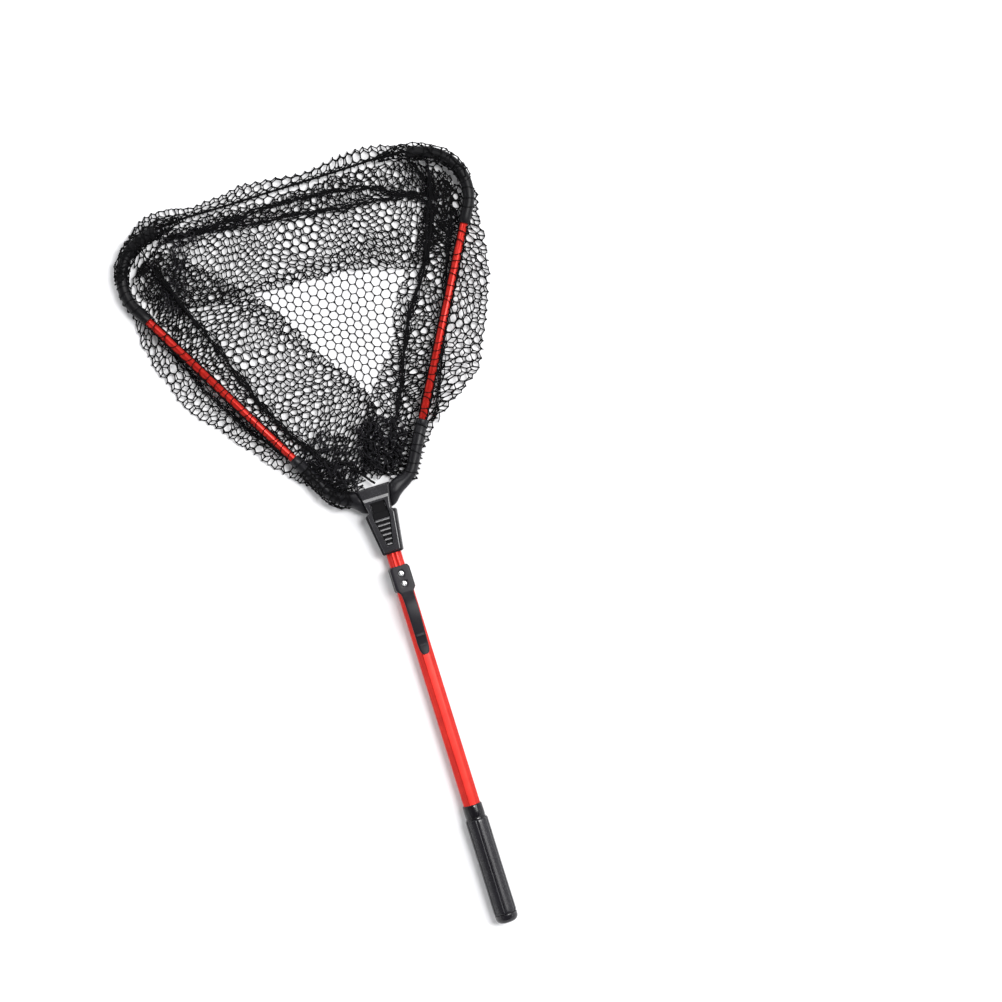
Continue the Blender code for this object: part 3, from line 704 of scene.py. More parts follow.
def arm_pieces(side, word, red):
    n = 56
    rings = []
    pin = circle(n, 2.8)
    hinge = H - left_of(U) * 4.0
    rings.append(section_at(hinge + U * 11.6, U, pin, side))
    rings.append(section_at(hinge + U * 2.85, U, pin, side))
    rings.append(section_at(*root_path(2.65), root_section(2.65, 0.7), side))
    rings.append(section_at(*root_path(2.9), root_section(2.9, 0.2), side))
    for s in [3.4, 4.2, 5, 6, 7, 8, 9, 10, 11, 12, 13, 14.5, 16, 18, 21, 24, 27, 30, 33, 37]:
        rings.append(section_at(*root_path(s), root_section(s), side))
    full = END_RUN + STRAIGHT
    for s, r in ((full - 31, 6.25), (full - 8.4, 6.25), (full - 8.0, 6.0), (full - 7.4, 6.0), (full - 7.0, 6.25)):
        rings.append(section_at(*root_path(s), circle(n, r), side))
    for s, r in ((full - 1.2, 6.25), (full - 0.5, 6.1), (full - 0.12, 5.8), (full, 5.4), (full, 4.45)):
        rings.append(section_at(*root_path(s), circle(n, r), side))
    rings.append(section_at(*root_path(full - 33), circle(n, 4.45), side))
    o = rings_object(f"arm_root_{word}_elbow", rings)
    spot = ROOT_END - E * 25.0
    cut(o, rod_z("rivet_hole", side * spot[0], spot[1], 0.5, AXIS_Z, 1.8, 24))
    finish_mesh(o, NYLON, f"arm_{word}", [f"arm_root_{word}"], 42)

    n = 48
    a, b = ROOT_END - E * 32.0, BOW_START + E * 16.0
    rings = [
        section_at(a, E, circle(n, 3.25), side),
        section_at(a, E, circle(n, 4.0), side),
        section_at(a + E * 0.2, E, circle(n, 4.15), side),
        section_at(b - E * 0.2, E, circle(n, 4.15), side),
        section_at(b, E, circle(n, 4.0), side),
        section_at(b, E, circle(n, 3.25), side),
    ]
    o = rings_object(f"arm_tube_{word}_shell", rings, loop=True)
    cut(o, rod_z("rivet_hole", side * spot[0], spot[1], 0.5, AXIS_Z, 1.8, 24))
    finish_mesh(o, red, f"arm_{word}", [f"arm_tube_{word}"], 42)

    base = AXIS_Z - ROOT_R - 0.25
    profile = [(0.01, 4.2), (1.4, 4.2), (1.5, 4.0), (1.5, 0.0), (2.75, 0.0), (2.9, -0.15), (2.88, -0.4)]
    profile += [(2.6, -0.8), (2.1, -1.1), (1.4, -1.3), (0.7, -1.38), (0.01, -1.4)]
    rings = [
        np.concatenate([circle(32, r) + (side * spot[0], spot[1]), np.full((32, 1), base + h)], 1)
        for r, h in profile
    ]
    o = rings_object(f"arm_rivet_{word}_head", rings)
    finish_mesh(o, BRIGHT, f"arm_{word}", [f"arm_rivet_{word}"], 40)

    n = 40
    line = [(BOW_START + E * 0.3, E), (BOW_START + E * 0.9, E), (BOW_START + E * 8.0, E), (BOW_S0, E)]
    total = 29.3 + 72.0
    for i in range(1, 40):
        dd = heading(29.3 - total * i / 40)
        line.append((BOW_C - left_of(dd) * 46.0, dd))
    line += [(BOW_ARC_END, TIP), (BOW_TIP - TIP * 1.6, TIP), (BOW_TIP - TIP * 0.4, TIP), (BOW_TIP, TIP)]
    radii = [5.5, 6.0, 6.0] + [6.0] * (len(line) - 5) + [5.85, 5.4]
    rings = [section_at(BOW_START + E * 16.8, E, circle(n, 4.45), side), section_at(BOW_START + E * 0.3, E, circle(n, 4.45), side)]
    rings += [section_at(p, dd, circle(n, r), side) for (p, dd), r in zip(line, radii, strict=True)]
    rings += [section_at(BOW_TIP, TIP, circle(n, 4.0), side), section_at(BOW_TIP - TIP * 12.0, TIP, circle(n, 4.0), side)]
    o = rings_object(f"corner_bow_{word}_rod", rings)
    finish_mesh(o, BOW_BLACK, f"arm_{word}", [f"corner_bow_{word}"], 42)


arm_pieces(1, "right", RED_RIGHT)
arm_pieces(-1, "left", RED_LEFT)


# thumb slide: saw-toothed ribs on a tapering pad, over the block that carries the lock bar
def box(name, low, high):
    (x0, y0, z0), (x1, y1, z1) = low, high
    return rings_object(name, [np.array([(x0, y, z0), (x1, y, z0), (x1, y, z1), (x0, y, z1)]) for y in (y0, y1)])


PAD_LOW = 21.7
teeth = [(-33.25, 22.1), (-33.5, 22.45), (-34.1, 22.55), (-39.5, 22.55), (-39.85, 22.1)]
for i in range(6):
    y = -39.95 - 5.04 * i
    teeth += [(y, 22.05), (y - 0.05, 23.45), (y - 0.2, 23.65), (y - 2.15, 24.65), (y - 2.35, 24.72), (y - 2.45, 24.6)]
    if i < 5:
        teeth += [(y - 2.49, 22.05)]
teeth += [(-67.7, 24.3), (-67.75, 22.6)]
rings = []
for y, z in teeth:
    w = float(np.interp(y, [-67.8, -36.3, -33.2], [2.6, 8.6, 7.8])) - 0.05
    rings.append(
        np.array([(-w, y, PAD_LOW), (w, y, PAD_LOW), (w, y, z - 0.3), (w - 0.28, y, z), (0.28 - w, y, z), (-w, y, z - 0.3)])
    )
slide = rings_object("lock_slider_ribs", rings)
cut(slide, box("slide_step", (-6.9, -34.9, 18.3), (6.9, -33.4, 22.4)), "UNION")
cut(slide, box("slide_foot", (-6.9, -34.8, 15.9), (6.9, -18.7, 21.2)), "UNION")
cut(slide, box("bar_groove", (-20, -29.1, 10), (20, -24.3, 18.95)))
finish_mesh(slide, NYLON_TOP, "lock", ["lock_slider"], 34)
# faces lower than 22.7 mm (the pad's front, the gaps between the teeth and the foot) take the darker copy: painted
# shade in the recess and between the ribs
slide.data.materials.append(PAINTED_RECESS_SHADE)
for f in slide.data.polygons:
    if f.center.z < 0.0227:
        f.material_index = 1

# pieces whose solids are already right: only their finish and edges change
for node, mat, width in (
    ("yoke_body", NYLON, 0.35),
    ("yoke_cover", NYLON_TOP, 0.3),
    ("throat_block", NYLON, 0.3),
    ("lock_bar", SPRING, 0.0),
    ("lock_spring", SPRING, 0.0),
    ("hinge_pin_left", SPRING, 0.0),
    ("hinge_pin_right", SPRING, 0.0),
    ("slide_bush", NYLON, 0.0),
):
    o = nodes[node]
    o.data.materials.clear()
    o.data.materials.append(mat)
    w = o.modifiers.new("weld", "WELD")
    w.merge_threshold = 1e-6
    if width:
        b = o.modifiers.new("edges", "BEVEL")
        b.width = width * 0.001
        b.segments = 2
        b.limit_method = "ANGLE"
        b.angle_limit = math.radians(30)

# ------------------------------------------------------------------ netting
PITCH = 9.5  # mesh opening, flat to flat
STRAND = 0.60  # radius of the twine
rng = np.random.default_rng(7)


class Waves:
    """Smooth seeded noise in the plane, about -1 to 1, for wavelengths in millimetres."""

    def __init__(self, seed, low, high, count=9):
        g = np.random.default_rng(seed)
        lam = np.exp(g.uniform(math.log(low), math.log(high), count))
        ang = g.uniform(0, 2 * math.pi, count)
        self.k = 2 * math.pi / lam * np.array([np.cos(ang), np.sin(ang)])
        self.phase = g.uniform(0, 2 * math.pi, count)
        self.amp = lam**0.35
        self.amp /= math.sqrt(0.5 * (self.amp**2).sum()) * 1.7

    def __call__(self, x, y):
        x, y = np.asarray(x, float), np.asarray(y, float)
        return (self.amp * np.sin(x[..., None] * self.k[0] + y[..., None] * self.k[1] + self.phase)).sum(-1)


def step(low, high, x):
    t = np.clip((x - low) / (high - low), 0, 1)
    return t * t * (3 - 2 * t)


def lattice(width, height, pitch=PITCH):
    """Nodes and edges of a hexagonal mesh over a rectangle."""
    s = pitch / math.sqrt(3)
    ni, nj = int(width / (pitch / 2)) + 1, int(height / (1.5 * s)) + 1
    i, j = np.meshgrid(np.arange(ni), np.arange(nj), indexing="ij")
    u = i * pitch / 2
    v = j * 1.5 * s + 0.5 * s * ((i + j) % 2)
    k = np.arange(ni * nj).reshape(ni, nj)
    zig = np.stack([k[:-1].ravel(), k[1:].ravel()], 1)
    up = np.stack([k[:, :-1].ravel(), k[:, 1:].ravel()], 1)[((i + j) % 2 == 1)[:, :-1].ravel()]
    return u.ravel(), v.ravel(), np.concatenate([zig, up])


def strand_mesh(p0, pm, p1, r_end, r_mid, sides=5):
    """Tubes from p0 over pm to p1 (plan millimetres), their ends open inside the knots."""
    c = np.stack([p0, pm, p1], 1)
    t = p1 - p0
    t /= np.maximum(np.linalg.norm(t, axis=1, keepdims=True), 1e-6)
    ref = np.where(np.abs(t[:, 2:3]) > 0.85, np.array([[1.0, 0, 0]]), np.array([[0, 0, 1.0]]))
    w = np.cross(t, ref)
    w /= np.linalg.norm(w, axis=1, keepdims=True)
    u = np.cross(w, t)
    a = np.linspace(0, 2 * np.pi, sides, endpoint=False)
    ring = np.cos(a)[None, :, None] * u[:, None] + np.sin(a)[None, :, None] * np.cross(t, u)[:, None]
    r = np.array([r_end, r_mid, r_end])[None, :, None, None]
    verts = c[:, :, None, :] + ring[:, None] * r
    n = len(p0)
    base = np.arange(n)[:, None, None] * 3 * sides
    row = np.arange(2)[None, :, None] * sides
    k = np.arange(sides)[None, None, :]
    nxt = (k + 1) % sides
    quads = np.stack([base + row + k, base + row + nxt, base + row + sides + nxt, base + row + sides + k], -1)
    return verts.reshape(-1, 3), quads.reshape(-1, 4)


def ball_template():
    bm = bmesh.new()
    bmesh.ops.create_icosphere(bm, subdivisions=1, radius=1.0)
    v = np.array([x.co for x in bm.verts])
    f = np.array([[x.index for x in g.verts] for g in bm.faces])
    bm.free()
    return v, f


BALL_V, BALL_F = ball_template()


def knots_mesh(places, size, g):
    """A small knot at each place, drawn out along a random level direction."""
    n = len(places)
    a = g.uniform(0, math.pi, n)
    long, flat = g.uniform(1.05, 1.5, n), g.uniform(0.75, 0.95, n)
    grow = size * g.uniform(0.88, 1.15, n)
    v = BALL_V[None] * np.stack([long, np.ones(n), flat], 1)[:, None] * grow[:, None, None]
    x = v[..., 0] * np.cos(a)[:, None] - v[..., 1] * np.sin(a)[:, None]
    y = v[..., 0] * np.sin(a)[:, None] + v[..., 1] * np.cos(a)[:, None]
    verts = np.stack([x, y, v[..., 2]], -1) + places[:, None]
    faces = BALL_F[None] + (np.arange(n) * len(BALL_V))[:, None, None]
    return verts.reshape(-1, 3), faces.reshape(-1, 3)


def netting(name, u, v, edges, place, inside, seed, r=STRAND, knot=1.7):
    """Strands and knots of one piece of net, its cut edge trimmed where inside() ends."""
    g = np.random.default_rng(seed)
    keep = inside(u, v)
    a, b = edges[:, 0], edges[:, 1]
    some = keep[a] | keep[b]
    a, b = a[some], b[some]
    u0, v0, u1, v1 = u[a], v[a], u[b], v[b]
    swap = ~keep[a]
    u0, u1 = np.where(swap, u1, u0), np.where(swap, u0, u1)
    v0, v1 = np.where(swap, v1, v0), np.where(swap, v0, v1)
    partial = ~(keep[a] & keep[b])
    lo, hi = np.zeros(len(u0)), np.ones(len(u0))
    for _ in range(12):
        mid = (lo + hi) / 2
        ok = inside(u0 + (u1 - u0) * mid, v0 + (v1 - v0) * mid)
        lo, hi = np.where(ok, mid, lo), np.where(ok, hi, mid)
    t = np.where(partial, lo, 1.0)
    u1, v1 = u0 + (u1 - u0) * t, v0 + (v1 - v0) * t
    p0, p1 = place(u0, v0), place(u1, v1)
    pm = place((u0 + u1) / 2, (v0 + v1) / 2)
    long = np.linalg.norm(p1 - p0, axis=1) > 0.3
    sv, sq = strand_mesh(p0[long], pm[long], p1[long], r * 1.06, r * 0.94)
    kv, kf = knots_mesh(place(u[keep], v[keep]), r * knot, g)
    o = bulk(name, world(np.concatenate([sv, kv])), sq, kf + len(sv))
    return o


HEAP = Waves(31, 55, 170)  # how the slack lies: shared by every layer, so that they keep their order
HEAP_FINE = Waves(32, 22, 60)


def heap(x, y):
    return np.clip(0.5 + 0.45 * HEAP(x, y) + 0.22 * HEAP_FINE(x, y), 0, 1.15)


def side_panel(name, seed, origin, e, n, a0, a1, turns, levels, gather, lift, tall, mask):
    """One wall of the bag, folded to and fro across its side of the hoop.

    turns are distances from the hoop line, as functions of the run a, between which each
    layer lies; levels are the heights at which each layer starts and ends.
    """
    g0, s0, g1, s1 = gather
    fine = np.linspace(a0, a1, 1500)
    density = 1 + g0 * np.exp(-(((fine - a0) / s0) ** 2)) + g1 * np.exp(-(((a1 - fine) / s1) ** 2))
    q = np.concatenate([[0], np.cumsum((density[1:] + density[:-1]) / 2 * np.diff(fine))])
    wx, wy, wz = Waves(seed, 80, 220), Waves(seed + 1, 80, 220), Waves(seed + 2, 16, 50)
    fx, fy = Waves(seed + 3, 20, 60), Waves(seed + 4, 20, 60)

    def lengths(a):
        f = np.stack([np.broadcast_to(t(a), np.shape(a)) for t in turns], -1)
        return f, np.cumsum(np.abs(np.diff(f, axis=-1)), -1)

    def place(u, v):
        a = np.interp(u, q, fine)
        f, total = lengths(a)
        layer = np.clip((v[..., None] > total).sum(-1), 0, len(turns) - 2)
        pick = lambda arr, k: np.take_along_axis(arr, k[..., None], -1)[..., 0]
        start = np.where(layer > 0, pick(total, np.maximum(layer - 1, 0)), 0.0)
        run = pick(total, layer) - start
        t = np.clip((v - start) / np.maximum(run, 1e-6), 0, 1)
        d = pick(f, layer) + (pick(f, layer + 1) - pick(f, layer)) * t
        lv = np.array(levels)
        z = lv[layer, 0] + (lv[layer, 1] - lv[layer, 0]) * t
        soft = step(0, 14, v) * step(0, 10, total[..., -1] - v)
        aa = a + (4.5 * wx(u, v) + 0.9 * fx(u, v)) * soft
        dd = d + (4.0 * wy(u, v) + 0.9 * fy(u, v)) * soft
        x = origin[0] + e[0] * aa + n[0] * dd
        y = origin[1] + e[1] * aa + n[1] * dd
        room = mask(aa, dd)
        z = z + lift + tall * room * heap(x, y) * soft + 0.45 * wz(u, v) * soft
        return np.stack([x, y, np.maximum(z, STRAND + 0.1)], -1)

    def inside(u, v):
        a = np.interp(u, q, fine)
        return (u >= -0.01) & (u <= q[-1] + 0.01) & (v >= -0.01) & (v <= lengths(a)[1][..., -1])

    depth = lengths(fine)[1][..., -1]
    u, v, edges = lattice(q[-1], depth.max() + PITCH)
    o = netting(name, u, v, edges, place, inside, seed)
    area = np.interp(np.linspace(0, q[-1], 1500), q, depth).mean() * q[-1] * 1e-6
    return o, (q[-1] * 1e-3, depth.max() * 1e-3), float(area), place


def bow_d(a, radius):
    """Distance of an arc round the corner's centre from the arm line, at a run a."""
    return np.where(a < 222, radius - 46.0, -46.0 + np.sqrt(np.clip(radius**2 - (a - 222.0) ** 2, 1.0, None)))


def past(a, own, radius, at=212.0):
    """A side's own outline, led over into an arc round the corner."""
    w = step(at - 14, at + 14, a)
    return own(a) * (1 - w) + bow_d(a, radius) * w


EL, NL = np.array([-E[0], E[1]]), np.array([-E[1], -E[0]])
ER, NR = np.array([E[0], E[1]]), np.array([E[1], -E[0]])
OL, OR = np.array([-ROOT_END[0], ROOT_END[1]]), np.array([ROOT_END[0], ROOT_END[1]])

rim = lambda a: bow_d(a, 49.8)
inner_turn = lambda a: bow_d(a, 42.5)


def inner_left(a):
    """As inner_turn, but towards the corner the layer turns back short of the bow."""
    w = step(200, 232, a)
    return inner_turn(a) * (1 - w) + (seam_l(a) + 12.0) * w



out_l = curve((-64, 8), (-36, 9.5), (8, 20), (40, 28), (70, 33), (126, 37), (169, 29), (200, 20), (222, 12), (260, 5))
inn_l = curve((-64, -62), (-15, -100), (60, -101), (137, -97), (190, -80), (260, -58))
seam_l = curve((-60, -24), (15, -16), (62, -17), (125, -27.5), (180, -34), (220, -40), (260, -50))

out_r = curve((-64, 8.5), (-30, 10), (6, 19), (46, 35), (84, 42), (120, 45), (150, 42), (185, 28), (210, 15), (222, 11), (260, 5))
inn_r = curve((-60, -56), (14, -54), (70, -48), (113, -48.5), (147, -44), (200, -46), (260, -56))
seam_r = curve((-60, -30), (-10, -27), (26, -28), (60, -32), (97, -35), (147, -31), (190, -32), (220, -38), (260, -50))


def side_room(a, d):
    """Where the slack may rise: not under the arm, little outside it."""
    under = step(7, 26, np.abs(d + 1))
    return under * np.where(d > 0, 0.35, 1.0) * step(-60, -20, a) + 0.0


left_net, left_flat, left_area, left_place = side_panel(
    "net_wall_left",
    101,
    OL,
    EL,
    NL,
    -62.0,
    246.0,
    [
        rim,
        lambda a: past(a, out_l, 56.5),
        inn_l,
        inner_left,
        seam_l,
    ],
    [(15.2, 2.4), (1.8, 2.7), (2.9, 2.2), (1.9, 1.4)],
    (1.0, 40.0, 0.2, 30.0),
    0.0,
    1.7,
    side_room,
)
right_net, right_flat, right_area, right_place = side_panel(
    "net_wall_right",
    202,
    OR,
    ER,
    NR,
    -62.0,
    246.0,
    [
        rim,
        lambda a: past(a, out_r, 56.5),
        inn_r,
        inner_turn,
        seam_r,
    ],
    [(15.2, 2.4), (1.8, 2.7), (2.9, 2.2), (1.9, 1.4)],
    (1.0, 36.0, 0.2, 30.0),
    0.0,
    1.6,
    side_room,
)


def front_hoop(x, extra):
    """The hoop's line at the front: along the bow's arc, its straight end, then the cord."""
    ax = np.abs(x)
    arc = BOW_C[1] + np.sqrt(np.clip((46.0 + extra) ** 2 - (ax - BOW_C[0]) ** 2, 1.0, None)) - 312.7
    w = step(128, 150, ax)
    return arc * w


out_f = curve((-190, -19), (-165, 6), (-150, 14), (-122, 18.5), (-81, 17.5), (-4, 16), (80, 14), (120, 11), (150, 3.5), (165, -2.5), (190, -25))
inn_f = curve((-190, -60), (-130, -84), (-51, -101), (7, -97), (60, -106), (104, -117), (150, -92), (190, -70))
back_f = curve((-190, -62), (-166, -34), (-150, -22), (-128, -8), (-100, -5), (100, -5), (128, -8), (150, -22), (166, -34), (190, -62))
seam_f = curve((-190, -64), (-160, -36), (-130, -17), (-95, -17), (-59, -22), (3, -29), (55, -36), (101, -41), (132, -46), (160, -57), (190, -68))


def front_room(a, d):
    return step(4, 22, np.abs(d)) * np.where(d > 0, 0.3, 1.0)


front_net, front_flat, front_area, front_place = side_panel(
    "net_wall_front",
    303,
    np.array([0.0, 312.7]),
    np.array([1.0, 0.0]),
    np.array([0.0, 1.0]),
    -168.0,
    168.0,
    [
        lambda a: front_hoop(a, 3.8) + 1.2,
        out_f,
        inn_f,
        back_f,
        seam_f,
    ],
    [(13.2, 2.0), (1.5, 2.7), (2.9, 2.3), (2.0, 1.4)],
    (0.2, 30.0, 0.2, 30.0),
    0.2,
    1.7,
    front_room,
)

# bottom of the bag: one flat piece, its rim under the folds of the walls
BOTTOM = [(36, 46), (60, 92), (86, 150), (106, 205), (114, 232), (98, 240), (50, 236), (0, 232), (-60, 231), (-94, 230)]
BOTTOM += [(-86, 214), (-50, 173), (-16, 128), (10, 84), (26, 52)]
loop = spline([*BOTTOM, BOTTOM[0]], 260)[:-1]


def in_loop(x, y):
    """Even-odd test against the bottom's outline."""
    x, y = np.asarray(x, float), np.asarray(y, float)
    hit = np.zeros(np.shape(x), bool)
    for (x0, y0), (x1, y1) in zip(loop, np.roll(loop, -1, axis=0), strict=True):
        cross = (y0 > y) != (y1 > y)
        hit ^= cross & (x < (x1 - x0) * (y - y0) / (y1 - y0 if abs(y1 - y0) > 1e-9 else 1e-9) + x0)
    return hit


BOTTOM_TURN = math.radians(21.0)
bx, by = Waves(401, 60, 190), Waves(402, 60, 190)


def bottom_place(u, v):
    c, s = math.cos(BOTTOM_TURN), math.sin(BOTTOM_TURN)
    x0, y0 = u - 230.0, v - 60.0
    x = c * x0 - s * y0 + 55
    y = s * x0 + c * y0 + 20
    x, y = x + 2.2 * bx(u, v), y + 2.2 * by(u, v)
    z = 0.75 + 0.5 * np.clip(HEAP_FINE(x, y), 0, 1)
    return np.stack([x, y, z], -1)


def bottom_inside(u, v):
    p = bottom_place(u, v)
    return in_loop(p[..., 0], p[..., 1])


u, v, edges = lattice(470, 420)
bottom_net = netting("net_bottom", u, v, edges, bottom_place, bottom_inside, 404, 0.48, 2.0)


def gathered(name, seed, quad, width, height, low, high, wild=4.0):
    """A bunched piece of the wall, crumpled over a four-sided patch: more netting than ground."""
    k0, k1, k2, k3 = (np.array(p, float) for p in quad)
    w1, w2, w3 = Waves(seed, 14, 46), Waves(seed + 1, 14, 46), Waves(seed + 2, 12, 40)

    def place(u, v):
        p, q = (u / width)[..., None], (v / height)[..., None]
        xy = k0 * (1 - p) * (1 - q) + k1 * p * (1 - q) + k2 * p * q + k3 * (1 - p) * q
        x, y = xy[..., 0] + wild * w1(u, v), xy[..., 1] + wild * w2(u, v)
        crown = 1 - 0.9 * ((u / width - 0.5) ** 2 + (v / height - 0.5) ** 2)
        z = low + (high - low) * np.clip(0.5 + 0.5 * w3(u, v), 0, 1) * crown
        return np.stack([x, y, z], -1)

    def inside(u, v):
        return np.abs(2 * u / width - 1) ** 3.2 + np.abs(2 * v / height - 1) ** 3.2 < 1

    u, v, edges = lattice(width, height)
    o = netting(name, u, v, edges, place, inside, seed, 0.6)
    return o, (width * 1e-3, height * 1e-3), 0.917 * width * height * 1e-6


bunch_yoke, yoke_flat, yoke_area = gathered(
    "net_bunch_yoke", 505, [(-8, 4), (33, 4), (58, 47), (3, 69)], 170, 142, 2.0, 13.0
)
bunch_left, bl_flat, bl_area = gathered(
    "net_bunch_left", 606, [(-48, -13), (-4, -10), (-16, 62), (-64, 60)], 114, 112, 1.4, 5.6
)

# the wall's slack where it is drawn together at the left corner
fold_left, _, _ = gathered(
    "net_fold_left", 616, [(-157, 226), (-131, 219), (-108, 288), (-121, 296)], 56, 96, 2.0, 6.0, 2.5
)
fold_front, _, _ = gathered(
    "net_fold_front", 626, [(-150, 302), (-98, 283), (-94, 297), (-136, 316)], 92, 40, 2.0, 9.0, 2.0
)

# ------------------------------------------------------------------ hems, seams and loops


def tube_along(points, radius, sides=6):
    """A capped tube along a polyline (plan millimetres): verts and faces."""
    p = np.asarray(points, float)
    t = np.gradient(p, axis=0)
    t /= np.linalg.norm(t, axis=1, keepdims=True)
    ref = np.array([0.0, 0.0, 1.0]) if abs(t[0, 2]) < 0.9 else np.array([1.0, 0, 0])
    u = np.cross(np.cross(t[0], ref), t[0])
    u /= np.linalg.norm(u)
    a = np.linspace(0, 2 * np.pi, sides, endpoint=False)
    verts = []
    for k in range(len(p)):
        u = u - t[k] * (u @ t[k])
        u /= np.linalg.norm(u)
        w = np.cross(t[k], u)
        r = radius if np.ndim(radius) == 0 else radius[k]
        verts.append(p[k] + r * (np.cos(a)[:, None] * u + np.sin(a)[:, None] * w))
    n = len(p)
    quads = []
    k = np.arange(sides)
    nxt = (k + 1) % sides
    for i in range(n - 1):
        quads.append(np.stack([i * sides + k, i * sides + nxt, (i + 1) * sides + nxt, (i + 1) * sides + k], 1))
    verts = np.concatenate([np.array(verts).reshape(-1, 3), p[:1], p[-1:]])
    a0, a1 = n * sides, n * sides + 1
    tris = [np.stack([np.full(sides, a0), nxt, k], 1), np.stack([np.full(sides, a1), (n - 1) * sides + k, (n - 1) * sides + nxt], 1)]
    return verts, np.concatenate(quads), np.concatenate(tris)


def joined(name, parts):
    verts, quads, tris, at = [], [], [], 0
    for v, q, t in parts:
        verts.append(v)
        quads.append(q + at)
        tris.append(t + at)
        at += len(v)
    return bulk(name, world(np.concatenate(verts)), np.concatenate(quads), np.concatenate(tris))


def bundle(points, seed, count=7, spread=2.0, core=0.95, thin=0.5, z_room=1.2):
    """A seam: a core cord with the gathered edge strands of the net winding along it."""
    g = np.random.default_rng(seed)
    line = spline(points, max(24, int(np.linalg.norm(np.diff(np.asarray(points, float), axis=0), axis=1).sum() / 3.0)))
    n = len(line)
    s = np.linspace(0, 1, n) * n * 3.0
    t = np.gradient(line, axis=0)
    t /= np.linalg.norm(t, axis=1, keepdims=True)
    across = np.stack([-t[:, 1], t[:, 0], np.zeros(n)], 1)
    wob = Waves(seed, 18, 60)
    parts = [tube_along(line + across * (0.7 * wob(s, s * 0))[:, None], core * (1 + 0.16 * wob(s * 1.7, s * 0 + 40)), 8)]
    for k in range(count):
        w1, w2 = Waves(seed * 10 + k, 12, 48), Waves(seed * 10 + k + 500, 10, 40)
        base = g.uniform(-0.5, 0.5) * spread
        off = base + spread * 0.62 * w1(s, s * 0 + 9 * k)
        up = z_room * (0.3 + 0.7 * w2(s, s * 0 + 5 * k))
        a, b = sorted(g.choice(np.arange(n), 2, replace=False)) if k > count // 2 else (0, n - 1)
        if b - a < 8:
            a, b = 0, n - 1
        q = line + across * off[:, None] + np.array([0, 0, 1.0]) * up[:, None]
        q[:, 2] = np.maximum(q[:, 2], thin + 0.1)
        parts.append(tube_along(q[a : b + 1], thin, 5))
    return parts


def raised(points, z):
    p = np.asarray(points, float)
    return np.concatenate([p, np.broadcast_to(np.asarray(z, float).reshape(-1, 1), (len(p), 1))], 1)


seam_left_pts = raised([OL + EL * a + NL * float(seam_l(a)) for a in (-38, -10, 20, 60, 100, 140, 180, 215, 240)], 3.0)
seam_right_pts = raised([OR + ER * a + NR * float(seam_r(a)) for a in (-34, -5, 26, 60, 97, 147, 190, 220, 242)], 3.0)
front_a = raised([(148, 240), (136, 258), (116, 273), (96, 284), (51, 294.5), (-11, 299), (-45, 298), (-88, 297.5), (-128, 299)], 3.6)
front_b = raised([(152, 258), (132, 267), (101, 272), (55, 277), (3, 284), (-59, 291), (-95, 296), (-128, 298)], 3.2)
yoke_end = np.array([(-26, 30, 7), (-14, 17, 7.5), (-6, 8.5, 8), (3, -3.5, 10)], float)
arm_band_r = raised([OR + ER * a + NR * d for a, d in ((0, 11), (30, 10), (60, 7), (90, 3), (120, -2), (150, -7), (185, -12), (215, -16))], 3.2)
arm_band_l = raised([OL + EL * a + NL * d for a, d in ((10, 6), (40, 9), (70, 11.5), (100, 12.5), (130, 11), (160, 7), (190, 2), (215, -6))], 3.2)
inner_l = np.array([(-156, 299, 9), (-153, 285, 8), (-150.5, 275, 7), (-146, 262, 6), (-140.5, 250.5, 6), (-131, 225, 5.5), (-122, 201, 5)], float)
inner_r = inner_l * (-1, 1, 1) + (-3, -2, 0)
knot_r = np.array([(146, 260, 7), (140, 252, 8), (136, 245, 7.5), (132, 235, 6)], float)

hem_left = joined(
    "net_seam_left",
    bundle(seam_left_pts, 11, 8, 4.2, 0.8) + bundle(arm_band_l, 12, 8, 4.6, 0.7) + bundle(inner_l, 13, 5, 2.6, 0.6),
)
hem_right = joined(
    "net_seam_right",
    bundle(seam_right_pts, 14, 11, 3.8, 1.1) + bundle(arm_band_r, 15, 7, 4.0, 0.7) + bundle(inner_r, 19, 6, 2.4, 0.8) + bundle(knot_r, 20, 7, 3.0, 1.1),
)
hem_front = joined("net_seam_front", bundle(front_a, 16, 9, 4.4, 0.6) + bundle(front_b, 17, 8, 4.4, 0.6) + bundle(yoke_end, 21, 3, 0.8, 1.0))


def ring_loop(place, d, radius, tilt, side, thick=0.5, n=18):
    """A strand looped round a bar lying in the plan, leaning along it by tilt."""
    a = np.linspace(0, 2 * np.pi, n, endpoint=False)
    along = tilt * np.sin(a + 0.6)
    xy = place + d * along[:, None] + left_of(d) * (radius * np.cos(a))[:, None]
    p = np.stack([xy[:, 0] * side, xy[:, 1], AXIS_Z + radius * np.sin(a)], 1)
    t = np.roll(p, -1, axis=0) - np.roll(p, 1, axis=0)
    t /= np.linalg.norm(t, axis=1, keepdims=True)
    c = np.array([place[0] * side, place[1], AXIS_Z])
    out = p - c
    out -= t * (out * t).sum(1)[:, None]
    out /= np.linalg.norm(out, axis=1, keepdims=True)
    w = np.cross(t, out)
    b = np.linspace(0, 2 * np.pi, 5, endpoint=False)
    v = p[:, None] + thick * (np.cos(b)[None, :, None] * out[:, None] + np.sin(b)[None, :, None] * w[:, None])
    i = np.arange(n)[:, None]
    k = np.arange(5)[None]
    ni, nk = (i + 1) % n, (k + 1) % 5
    q = np.stack([i * 5 + k, i * 5 + nk, ni * 5 + nk, ni * 5 + k], -1).reshape(-1, 4)
    return v.reshape(-1, 3), q, np.zeros((0, 3), int)


